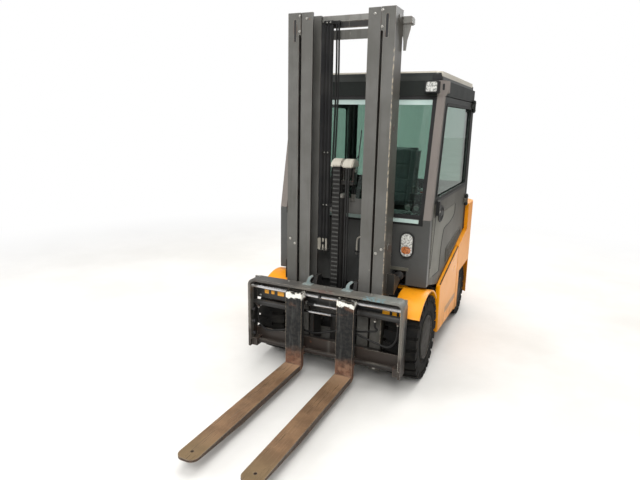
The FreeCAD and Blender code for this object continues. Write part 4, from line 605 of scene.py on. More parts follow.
class Shape:
    """Gathers the forms of one piece."""

    def __init__(self, name: str, body: str, slot: Slot, *finishes) -> None:
        """Starts an empty piece.

        Args:
            name: The piece's name.
            body: The body that it rides on.
            slot: The record's slot that its finish belongs to; not used.
            *finishes: Its finishes; forms take the first one until another is chosen.
        """
        self.name, self.body, self.slot, self.finishes = name, body, slot, finishes
        self.mesh = bmesh.new()
        self.chosen = 0

    def use(self, number: int) -> "Shape":
        """Gives the forms that follow another of the piece's finishes."""
        self.chosen = number
        return self

    def add(self, corners: Iterable[Vector], faces: Iterable[Sequence[int]]) -> list[bmesh.types.BMFace]:
        """Adds faces over new corners.

        Args:
            corners: The corners.
            faces: Each face's corners, by number.

        Returns:
            The new faces.
        """
        made = [self.mesh.verts.new(c) for c in corners]
        result = [self.mesh.faces.new([made[i] for i in face]) for face in faces]
        for face in result:
            face.material_index = self.chosen
        return result

    def flat(self, corners: Sequence[Vector], side: Vector, faces: Iterable[Sequence[int]], soft: float) -> None:
        """Adds a flat form: corners, the same corners moved to a side, and the faces over both.

        Args:
            corners: The corners on one side.
            side: The way to the other side.
            faces: The faces over both.
            soft: The rounding of its edges.
        """
        made = self.add([*corners, *(c + side for c in corners)], faces)
        bmesh.ops.recalc_face_normals(self.mesh, faces=made)
        edges = dict.fromkeys(e for f in made for e in f.edges if len(e.link_faces) == 2 and e.calc_face_angle(0) > 0.5)
        if soft and edges:
            bmesh.ops.bevel(self.mesh, geom=list(edges), offset=soft, segments=2, affect="EDGES", clamp_overlap=True,
                            material=self.chosen)

    def plate(self, outline: Outline, at: Spot, across: Vector, up: Vector, thick: float, soft: float = 0.0015) -> None:
        """Adds a flat plate of any outline.

        Args:
            outline: Its corners in its own plane.
            at: Where the outline's zero lies.
            across: The outline's first direction.
            up: The outline's second direction.
            thick: How far it goes along across x up, either way.
            soft: The rounding of its edges.
        """
        low = [Vector(at) + across * u + up * v for u, v in outline]
        count = len(low)
        ends = [tuple(range(count))[::-1], tuple(range(count, 2 * count))]
        self.flat(low, across.cross(up).normalized() * thick, ends + quads(2, count), soft)

    def ring(self, outline: Outline, by: float, at: Spot, across: Vector, up: Vector, thick: float,
             soft: float = 0.0008) -> None:
        """Adds a flat frame along an outline.

        Args:
            outline: The frame's inner corners, or its outer ones where by is less than zero.
            by: The frame's width.
            at: Where the outline's zero lies.
            across: The outline's first direction.
            up: The outline's second direction.
            thick: How far it goes along across x up, either way.
            soft: The rounding of its edges.
        """
        lines = (grown(outline, by), outline) if by > 0 else (outline, grown(outline, by))
        self.between(*lines, at, across, up, thick, soft)

    def between(self, outer: Outline, inner: Outline, at: Spot, across: Vector, up: Vector, thick: float,
                soft: float = 0.0008) -> None:
        """Adds a flat frame between two outlines with as many corners.

        Args:
            outer: The outer outline.
            inner: The inner outline.
            at: Where the outlines' zero lies.
            across: The outlines' first direction.
            up: The outlines' second direction.
            thick: How far it goes along across x up, either way.
            soft: The rounding of its edges.
        """
        flat = [Vector(at) + across * u + up * v for line in (outer, inner) for u, v in line]
        n = len(outer)
        faces = [(a + i, a + (i + 1) % n, b + (i + 1) % n, b + i) for i in range(n)
                 for a, b in ((0, n), (2 * n, 3 * n), (0, 2 * n), (n, 3 * n))]
        self.flat(flat, across.cross(up).normalized() * thick, faces, soft)

    def block(self, low: Spot, high: Spot, soft: float = 0.002) -> None:
        """Adds a box with rounded edges between its lowest and highest corners."""
        size = Vector(high) - Vector(low)
        self.plate([(0, 0), (size.x, 0), (size.x, size.y), (0, size.y)], low, ACROSS, ALONG, size.z, soft)

    def turned(self, at: Spot, axis: Vector, profile: Outline, sides: int = 24) -> None:
        """Adds a round form.

        Args:
            at: Where its axis begins.
            axis: The axis' direction.
            profile: Pairs of radius and distance along the axis.
            sides: How many sides it has.
        """
        axis = axis.normalized()
        first = axis.orthogonal().normalized()
        second = axis.cross(first)
        turns = [math.tau * i / sides for i in range(sides)]
        outs = [first * math.cos(turn) + second * math.sin(turn) for turn in turns]
        faces = quads(len(profile), sides)
        last = (len(profile) - 1) * sides
        if profile[0][0] > 0:
            faces.append(tuple(range(sides))[::-1])
        if profile[-1][0] > 0:
            faces.append(tuple(range(last, last + sides)))
        made = self.add([Vector(at) + axis * along + out * radius for radius, along in profile for out in outs], faces)
        verts = list(dict.fromkeys(v for f in made for v in f.verts))
        bmesh.ops.remove_doubles(self.mesh, verts=verts, dist=1e-6)

    def button(self, at: Spot, axis: Vector, foot: float, side: float, top: float, high: float, sides: int) -> None:
        """Adds a round button: its foot's radius, its side's height, its top's radius and its height."""
        self.turned(at, axis, [(foot, 0), (foot, side), (top, high), (0, high)], sides)

    def disc(self, at: Spot, axis: Vector, radius: float, high: float, sides: int) -> None:
        """Adds a flat round disc of a radius and height."""
        self.turned(at, axis, [(radius, 0), (radius, high), (0, high)], sides)

    def rod(self, start: Spot, end: Spot, radius: float, sides: int = 20, soft: float = 0.0) -> None:
        """Adds a straight round bar.

        Args:
            start: One end.
            end: The other end.
            radius: Its radius.
            sides: How many sides it has.
            soft: The chamfer at its ends.
        """
        line = Vector(end) - Vector(start)
        far = line.length
        ends = [(radius - soft, 0), (radius, soft), (radius, far - soft), (radius - soft, far)]
        self.turned(start, line, ends if soft else [(radius, 0), (radius, far)], sides)

    def bolt(self, at: Spot, axis: Vector, size: float = 0.008) -> None:
        """Adds a hexagon bolt head on its washer, by the head's radius over its corners."""
        self.turned(at, axis, [(size * 1.35, 0), (size * 1.35, size * 0.2), (size * 1.2, size * 0.25)], 18)
        self.turned(at, axis, [(size, size * 0.25), (size, size * 0.85), (size * 0.8, size), (0, size)], 6)

    def tube(self, points: Sequence[Spot], radius: float, sides: int = 12, steps: int = 6) -> None:
        """Adds a bent tube through points.

        Args:
            points: What it passes through.
            radius: Its radius.
            sides: How many sides it has.
            steps: How many pieces each run has.
        """
        line = smooth_line([Vector(p) for p in points], steps)
        last = len(line) - 1
        turns = [math.tau * k / sides for k in range(sides)]
        rings, side = [], None
        for i, point in enumerate(line):
            ahead = (line[min(i + 1, last)] - line[max(i - 1, 0)]).normalized()
            side = ahead.orthogonal().normalized() if side is None else (side - ahead * side.dot(ahead)).normalized()
            other = ahead.cross(side)
            rings += [point + (side * math.cos(t) + other * math.sin(t)) * radius for t in turns]
        ends = [tuple(range(sides))[::-1], tuple(range(last * sides, (last + 1) * sides))]
        self.add(rings, quads(last + 1, sides) + ends)

    def mirror(self, keep: bool = True) -> "Shape":
        """Puts the forms on the truck's other side, and keeps them on this one too unless told not to."""
        if keep:
            self.copies(self, [Matrix.Diagonal((-1, 1, 1, 1))], -1)
            return self
        bmesh.ops.scale(self.mesh, vec=(-1, 1, 1), verts=self.mesh.verts)
        bmesh.ops.reverse_faces(self.mesh, faces=self.mesh.faces)
        return self

    def copies(self, source: "Shape", places: Iterable[Matrix], way: int = 1) -> None:
        """Adds copies of another shape's forms, or of its own.

        Args:
            source: The shape that is copied.
            places: Where each copy goes.
            way: -1 for a mirrored copy, whose faces turn round.
        """
        verts, faces = list(source.mesh.verts), list(source.mesh.faces)
        for place in places:
            made = {v: self.mesh.verts.new(place @ v.co) for v in verts}
            for face in faces:
                self.mesh.faces.new([made[v] for v in face.verts][::way]).material_index = face.material_index

    def done(self, crease: float = 34.0) -> bpy.types.Object:
        """Turns the forms into one object that rides on its body.

        Args:
            crease: The angle in degrees over which an edge stays sharp.

        Returns:
            The object.
        """
        data = bpy.data.meshes.new(self.name)
        bmesh.ops.recalc_face_normals(self.mesh, faces=self.mesh.faces)
        self.mesh.to_mesh(data)
        self.mesh.free()
        data.shade_smooth()
        data.set_sharp_from_angle(angle=math.radians(crease))
        for finish in self.finishes:
            data.materials.append(material(finish))
        piece = bpy.data.objects.new(self.name, data)
        bpy.context.scene.collection.objects.link(piece)
        if self.body:
            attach(piece, self.body)
        log.info("%s: %d faces on %s", self.name, len(data.polygons), self.body)
        return piece


def smooth_line(points: Sequence[Vector], steps: int) -> list[Vector]:
    """Runs a smooth line through points.

    Args:
        points: What it passes through.
        steps: How many pieces each run has.

    Returns:
        The line's points.
    """
    ends = [points[0] * 2 - points[1], *points, points[-1] * 2 - points[-2]]
    line = []
    for a, b, c, d in zip(ends, ends[1:], ends[2:], ends[3:]):
        square, cube = 2 * a - 5 * b + 4 * c - d, 3 * b - a - 3 * c + d
        line += [0.5 * (2 * b + (c - a) * t + square * t ** 2 + cube * t ** 3) for t in (i / steps for i in range(steps))]
    return line + [points[-1]]


def oval(wide: float, tall: float, steps: int = 36) -> Outline:
    """The outline of an oval around zero, by half its width and height."""
    return [(wide * math.cos(math.tau * i / steps), tall * math.sin(math.tau * i / steps)) for i in range(steps)]


def rounded(width: float, height: float, radius: float, steps: int = 4) -> Outline:
    """The outline of a rounded rectangle around zero.

    Args:
        width: Its width.
        height: Its height.
        radius: Its corners' radius.
        steps: How many pieces each corner has.

    Returns:
        The outline's corners.
    """
    corners = [(k, sx, sy, math.tau / 4 * (k + i / steps))
               for k, (sx, sy) in enumerate(((1, 1), (-1, 1), (-1, -1), (1, -1))) for i in range(steps + 1)]
    return [(sx * (width / 2 - radius) + radius * math.cos(turn), sy * (height / 2 - radius) + radius * math.sin(turn))
            for _, sx, sy, turn in corners]


def grown(outline: Outline, by: float) -> Outline:
    """Moves the sides of an outline outwards, or inwards where by is less than zero.

    Args:
        outline: Its corners.
        by: How far.

    Returns:
        The new corners.
    """
    following = [*outline[1:], outline[0]]
    area = sum(a[0] * b[1] - b[0] * a[1] for a, b in zip(outline, following))
    way = by if area > 0 else -by
    result = []
    for last, point, following_one in zip([outline[-1], *outline], outline, following):
        before = (Vector(point) - Vector(last)).normalized()
        after = (Vector(following_one) - Vector(point)).normalized()
        first, second = Vector((before.y, -before.x)), Vector((after.y, -after.x))
        moved = Vector(point) + (first + second) * way / max(0.3, 1 + first.dot(second))
        result.append((moved.x, moved.y))
    return result


def filleted(outline: Outline, radius: float, steps: int = 4) -> Outline:
    """Rounds the corners of an outline.

    Args:
        outline: Its corners.
        radius: How far from a corner its rounding begins.
        steps: How many pieces a corner has.

    Returns:
        The outline's new corners.
    """
    result = []
    for last, point, following in zip([outline[-1], *outline], outline, [*outline[1:], outline[0]]):
        here = Vector(point)
        before, after = (here + (Vector(end) - here).normalized() * radius for end in (last, following))
        spots = [before * (1 - t) ** 2 + here * 2 * t * (1 - t) + after * t ** 2 for t in (k / steps for k in range(steps + 1))]
        result += [(spot.x, spot.y) for spot in spots]
    return result


DRESS = (
    (MAST_GREY, 0.002, "mast_outer_rails mast_inner_rails"), (MAST_GREY, 0.0015, "side_lift_barrels"),
    (FRAME_BLACK, 0.0015, "free_lift_barrel crosshead positioner_rams tilt_barrels"), (FRAME_BLACK, 0.002, "carriage"),
    (CHROME, 0.001, "side_lift_rods tilt_rods"), (ForkSteel(), 0.003, "fork_left fork_right"),
    (FRAME_GREY, 0.003, "positioner_frame"), (CHASSIS_BLACK, 0.003, "chassis_frame cab_floor"),
    (CHASSIS_BLACK, 0.004, "battery"), (CHASSIS_BLACK, 0.002, "drive_motor"), (AMBER, 0.008, "side_panels"),
    (AMBER, 0.003, "front_fenders"), (CAST_AMBER, 0.008, "counterweight"), (ZINC, 0.001, "tow_pin"),
    (CAB_GREY, 0.003, "front_console"), (POST_GREY, 0.006, "cab_frame"), (CREAM, 0.009, "cab_roof"),
    (DOOR_GREY, 0.003, "door_left door_right"), (BLACK, 0.004, "seat_base tail_lamps"),
    (BLACK, 0.006, "armrest dashboard"), (BLACK, 0.001, "steering_wheel"), (BLACK, 0.002, "head_lamps"),
    (BLACK, 0.005, "work_lamps"), (CAST_IRON, 0.002, "drive_axle steer_axle knuckle_left knuckle_right"),
    (RIM_DARK, 0.002, "rim_front_left rim_front_right rim_rear_left rim_rear_right"),
    (Pane(), 0.0, "cab_glass door_glass_left door_glass_right"),
    (Rubber(), 0.0, "tyre_front_left tyre_front_right tyre_rear_left tyre_rear_right"),
    (OILY, 0.0, "reeving_over reeving_front reeving_rear"), (Cloth(), 0.0, "seat_cushion seat_back"))


@dataclass
class FrameDress:
    """Gives each carried-over CAD node its finish and rounded edges."""

    weld: float = 2e-5
    angle: float = 32.0

    def build(self) -> None:
        """Dresses every node."""
        for finish, soft, names in DRESS:
            for name in names.split():
                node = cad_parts[name]
                for slot in node.material_slots:
                    slot.material = material(finish)
                if soft:
                    self.soften(node, soft)
                log.info("%s dressed in %s", name, finish.name)

    def soften(self, node: bpy.types.Object, soft: float) -> None:
        """Rounds a node's sharp edges by so much."""
        node.modifiers.new("weld", "WELD").merge_threshold = self.weld
        bevel = node.modifiers.new("rounding", "BEVEL")
        bevel.width = soft
        bevel.segments = 2
        bevel.limit_method = "ANGLE"
        bevel.angle_limit = math.radians(self.angle)
        bevel.harden_normals = True


@dataclass
class Stage:
    """The floor, the light and the camera."""

    reach: float = 60.0
    drop: float = 0.0005
    room: float = 0.5
    backdrop: float = 1.0
    lens: float = 28.748
    sensor: float = 36.0
    place: Point = (1.300, -3.393, 1.737)
    yaw: float = 24.879
    pitch: float = 13.16
    roll: float = -1.112

    def floor(self) -> None:
        """Lays the floor."""
        data = bpy.data.meshes.new("floor")
        r = self.reach
        data.from_pydata([(-r, -r, 0), (r, -r, 0), (r, r, 0), (-r, r, 0)], [], [(0, 1, 2, 3)])
        data.materials.append(material(Concrete()))
        ground = bpy.data.objects.new("floor", data)
        ground.location.z = -self.drop
        bpy.context.scene.collection.objects.link(ground)

    def world(self) -> None:
        """Sets a soft room light that looks white to the camera and through glass."""
        world = bpy.data.worlds.new("room")
        bpy.context.scene.world = world
        world.use_nodes = True
        tree = world.node_tree
        back = tree.nodes["Background"]
        back.inputs["Color"].default_value = (1, 1, 1, 1)
        path = tree.nodes.new("ShaderNodeLightPath")
        either = tree.nodes.new("ShaderNodeMath")
        either.operation = "MAXIMUM"
        for number, ray in enumerate(("Is Camera Ray", "Is Transmission Ray")):
            tree.links.new(path.outputs[ray], either.inputs[number])
        level = tree.nodes.new("ShaderNodeMapRange")
        level.inputs["To Min"].default_value = self.room
        level.inputs["To Max"].default_value = self.backdrop
        tree.links.new(either.outputs[0], level.inputs["Value"])
        tree.links.new(level.outputs[0], back.inputs["Strength"])

    def lamp(self, name: str, at: Point, aim: Point, size: float, power: float) -> None:
        """Hangs one soft lamp.

        Args:
            name: The lamp's name.
            at: Where it hangs.
            aim: What it points at.
            size: Its side length.
            power: Its power in watts.
        """
        data = bpy.data.lights.new(name, "AREA")
        data.shape = "SQUARE"
        data.size = size
        data.energy = power
        lamp = bpy.data.objects.new(name, data)
        lamp.location = at
        lamp.rotation_euler = (Vector(aim) - Vector(at)).to_track_quat("-Z", "Y").to_euler()
        bpy.context.scene.collection.objects.link(lamp)

    def camera(self) -> None:
        """Stands the camera where the photograph was taken."""
        yaw, pitch, roll = (math.radians(v) for v in (self.yaw, self.pitch, self.roll))
        ahead = Vector((-math.sin(yaw) * math.cos(pitch), math.cos(yaw) * math.cos(pitch), -math.sin(pitch)))
        level = Vector((math.cos(yaw), math.sin(yaw), 0))
        down = ahead.cross(level)
        right = level * math.cos(roll) + down * math.sin(roll)
        below = down * math.cos(roll) - level * math.sin(roll)
        data = bpy.data.cameras.new("camera")
        data.lens = self.lens
        data.sensor_width = self.sensor
        camera = bpy.data.objects.new("camera", data)
        turn = Matrix((right, -below, -ahead)).transposed().to_4x4()
        camera.matrix_world = Matrix.Translation(self.place) @ turn
        bpy.context.scene.collection.objects.link(camera)
        bpy.context.scene.camera = camera

    def build(self) -> None:
        """Sets the whole stage."""
        bpy.context.scene.view_settings.view_transform = "Standard"
        self.camera()
        self.floor()
        self.world()
        self.lamp("key", (1.6, -5.6, 5.4), (0, -0.2, 0.8), 3.8, 320)
        self.lamp("fill", (-5.0, -3.4, 3.6), (0, 0, 1.0), 4.2, 180)
        self.lamp("rim", (0.9, 5.5, 4.8), (0, 0.4, 1.0), 3.8, 220)
        self.lamp("top", (0.0, -0.2, 6.6), (0, 0, 0), 4.8, 240)
        log.info("stage set")


@dataclass
class Wheel:
    """A solid tyre with shoulder lugs in place of its plain CAD ring, and its rim's nuts and hub."""

    end: str
    side: str
    lugs: int
    groove: float
    nuts: int
    circle: float
    hub: float
    sides: int = 92
    pieces: int = 4

    def build(self) -> None:
        """Makes the tyre with its lugs and the rim's small parts."""
        name = f"tyre_{self.end}_{self.side}"
        low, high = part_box(name)
        middle = (low + high) / 2
        radius, half = (high.z - low.z) / 2, (high.x - low.x) / 2
        rim_low, rim_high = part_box(f"rim_{self.end}_{self.side}")
        bore = min(radius * 0.53, (rim_high.z - rim_low.z) / 2)
        bed = radius - self.groove
        shape = Shape(f"tread_{self.end}_{self.side}", f"wheel_{self.end}_{self.side}", Slot.TYRE, Rubber())
        rows = ((bore, 0.86), (bore + 0.006, 0.955), (bore + 0.014, 0.96), (bore + 0.018, 0.925), (bore + 0.032, 0.925),
                (bore + 0.036, 0.965), ((bore + bed) / 2, 1.0), (bed - 0.034, 0.98), (bed - 0.031, 0.945),
                (bed - 0.024, 0.935), (bed - 0.012, 0.9), (bed, 0.8))
        wall = [(r, half * 0.985 * share) for r, share in rows]
        shape.turned(middle, ACROSS, [(r, -along) for r, along in wall] + wall[::-1], self.sides)
        self.tread(shape, middle, radius, bed, half)
        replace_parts(shape.done(40), name)
        self.trim(middle, half, bore)

    def trim(self, middle: Vector, half: float, bore: float) -> None:
        """Adds the wheel nuts, the hub's cap and the rim's clamping ring.

        Args:
            middle: The wheel's middle.
            half: Half its width.
            bore: The tyre's inner radius.
        """
        out = ACROSS if self.side == "left" else -ACROSS
        disc = middle + out * (half - 2 * half * 0.42)
        trim = Shape(f"wheel_nuts_{self.end}_{self.side}", f"wheel_{self.end}_{self.side}", Slot.BRIGHT, ZINC,
                     CAST_IRON, RIM_DARK)
        face = disc + out * 0.0142
        for i in range(self.nuts):
            turn = math.tau * i / self.nuts
            spot = face + Vector((0, math.cos(turn), math.sin(turn))) * self.circle
            trim.use(2).turned(spot, out, [(0.017, -0.001), (0.017, 0.003), (0.014, 0.004)], 16)
            trim.use(0).turned(spot, out, [(0.0125, 0.004), (0.0125, 0.017), (0.011, 0.019), (0, 0.019)], 6)
            trim.turned(spot, out, [(0.006, 0.018), (0.006, 0.027), (0.005, 0.028), (0, 0.028)], 10)
        hub = self.hub
        trim.use(1).turned(disc + out * 0.046, out, [
            (hub + 0.004, -0.012), (hub + 0.006, 0), (hub, 0.006), (hub * 0.7, 0.014), (hub * 0.35, 0.02), (0, 0.021)], 32)
        trim.use(2).turned(middle + out * (half - 0.003), out, [
            (bore - 0.014, -0.004), (bore - 0.013, -0.011), (bore - 0.004, -0.011), (bore - 0.002, 0),
            (bore - 0.010, 0.0015), (bore - 0.014, -0.004)], 64)
        trim.done()

    def tread(self, shape: Shape, middle: Vector, radius: float, bed: float, half: float) -> None:
        """Adds the tread's lugs, which alternate between the two shoulders.

        Args:
            shape: The tyre's shape.
            middle: The wheel's middle.
            radius: The tread's radius.
            bed: The radius of the grooves' bottom.
            half: Half the tyre's width.
        """
        step = math.tau / self.lugs
        rows = ((-0.12, 0.22), (0.45, 0.1), (0.985, 0.0))
        for side, first in ((-1, 0.0), (1, 0.5)):
            for i in range(self.lugs):
                corners = [(side * reach * half, step * (i + first + skew + 0.68 * k / self.pieces))
                           for reach, skew in rows for k in range(self.pieces + 1)]
                self.lug(shape, middle, radius, bed, corners)

    def lug(self, shape: Shape, middle: Vector, radius: float, bed: float, corners: Outline) -> None:
        """Adds one lug over a patch of the tread.

        Args:
            shape: The tyre's shape.
            middle: The wheel's middle.
            radius: The tread's radius.
            bed: The radius that the lug stands on.
            corners: Rows of points across the lug, each a place and a turn.
        """
        row, count = self.pieces + 1, len(corners)
        last = count - row
        outs = [radius - (0.004 if i >= last else 0) for i in range(count)]
        outs += [bed - (0.004 if i < last else 0.03) for i in range(count)]
        points = [middle + Vector((place, out * math.cos(turn), out * math.sin(turn)))
                  for (place, turn), out in zip([*corners, *corners], outs)]
        faces = [(a, a + 1, a + 1 + row, a + row) for a in range(last) if (a + 1) % row]
        rim = [*range(row), *range(2 * row - 1, count, row), *range(count - 2, last - 1, -1), *range(last - row, 0, -row)]
        faces += [(a, b, b + count, a + count) for a, b in zip(rim, rim[1:] + rim[:1])]
        shape.add(points, faces)


@dataclass
class Chain:
    """A leaf chain: rows of link plates on pins."""

    pitch: float = 0.0285
    rows: int = 9

    def link(self, wide: float) -> Shape:
        """One pitch of the chain at zero, running up, with its pin.

        Args:
            wide: The chain's width.

        Returns:
            The shape, to be copied.
        """
        shape = Shape("link", "", Slot.CHAIN)
        r, end = self.pitch * 0.30, wide / 2
        turns = [(centre, first - 0.5 + (math.pi + 1.0) * i / 6)
                 for centre, first in ((self.pitch, 0.0), (0.0, math.pi)) for i in range(7)]
        gap = wide / self.rows
        for k in range(self.rows):
            shift = -self.pitch / 2 if k % 2 else 0.0
            outline = [(r * math.cos(turn), centre + r * math.sin(turn) + shift) for centre, turn in turns]
            shape.plate(outline, (gap * k - end, 0, 0), ALONG, UP, gap * 0.86, 0)
        for height in (0.0, self.pitch / 2):
            shape.rod((-end - 0.002, 0, height), (end + 0.002, 0, height), r * 0.42, 10)
        shape.use(2).block((0.003 - end, -r - 0.0008, -0.0045), (end - 0.003, r * 0.4, 0.006), 0.001)
        return shape


@dataclass
class Reeving:
    """The lift chain and the two hoses beside it, over their pulleys."""

    chain: Chain = field(default_factory=Chain)
    wide: float = 0.052
    hoses: tuple[float, float] = (0.066, 0.082)
    hose: float = 0.0068
    inset: float = 0.0075
    pressed: float = 0.245

    def build(self) -> None:
        """Makes the three runs in place of their CAD bands."""
        front_low, front_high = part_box("reeving_front")
        rear_low, rear_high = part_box("reeving_rear")
        link = self.chain.link(self.wide)
        front, rear = front_low.y + self.inset, rear_high.y - self.inset
        low, high = (0, front, front_low.z), (0, front, front_high.z)
        piece = self.run("front", "crosshead", link, low, high)
        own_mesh(piece)
        low, high = (0, rear, rear_low.z), (0, rear, rear_high.z)
        piece = self.run("rear", "", link, low, high)
        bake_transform(piece)
        self.over(link, (front + rear) / 2, (rear - front) / 2, front_high.z)
        self.anchor("carriage", "carriage", front, front_low.z)
        self.anchor("mast", "mast_inner", rear, rear_low.z)

    def run(self, name: str, body: str, link: Shape, low: Point, high: Point) -> bpy.types.Object:
        """Makes one straight run of the chain and the hoses.

        Args:
            name: The run's name.
            body: The body that it rides on.
            link: One pitch of the chain.
            low: The chain's lower end.
            high: The chain's upper end.

        Returns:
            The run's piece.
        """
        run = Shape(f"lift_chain_{name}", body, Slot.CHAIN, OILY, HOSE, CHAIN_PLATE)
        far = high[2] - low[2]
        count = int(far / self.chain.pitch)
        run.copies(link, [Matrix.Translation((0, low[1], low[2] + far / count * i)) for i in range(count)])
        for x in self.hoses:
            run.use(1).rod((x, *low[1:]), (x, *high[1:]), self.hose, 12)
        piece = run.done()
        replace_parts(piece, f"reeving_{name}")
        return piece

    def over(self, link: Shape, centre: float, radius: float, high: float) -> None:
        """Makes the part over the wheels.

        Args:
            link: One pitch of the chain.
            centre: The axle's place along.
            radius: The chain's radius round it.
            high: The axle's height.
        """
        over = Shape("lift_chain_over", "crosshead", Slot.CHAIN, OILY, HOSE, CHAIN_PLATE)
        axle, back = Matrix.Translation((0, centre, high)), Matrix.Translation((0, -radius, 0))
        count = round(math.pi * radius / self.chain.pitch)
        over.copies(link, [axle @ Matrix.Rotation(-math.pi * i / count, 4, "X") @ back for i in range(count)])
        arc = [(centre - radius * math.cos(math.pi * i / 12), high + radius * math.sin(math.pi * i / 12))
               for i in range(13)]
        for x in self.hoses:
            over.use(1).tube([(x, *spot) for spot in arc], self.hose, 12, 2)
        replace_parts(over.done(), "reeving_over")

    def anchor(self, name: str, body: str, y: float, z: float) -> None:
        """Makes the block and fittings that hold a run's lower end.

        Args:
            name: What the anchor is named for.
            body: The body that it rides on.
            y: The run's place along.
            z: The height of its lower end.
        """
        anchor = Shape(f"chain_anchor_{name}", body, Slot.BRIGHT, ZINC, FRAME_BLACK)
        anchor.use(1).block((-0.019, y - 0.007, z - 0.014), (0.019, y + 0.007, z + 0.006))
        anchor.use(0).rod((-0.024, y, z + 0.002), (0.024, y, z + 0.002), 0.004, 12, 0.001)
        fitting = [(0.0078, -0.03), (0.0085, 0), (0.011, 0.001), (0.011, 0.014), (0.0075, 0.015), (0, 0.015)]
        for x in self.hoses:
            anchor.turned((x, y, z - 0.002), -UP, fitting, 6)
        anchor.done()


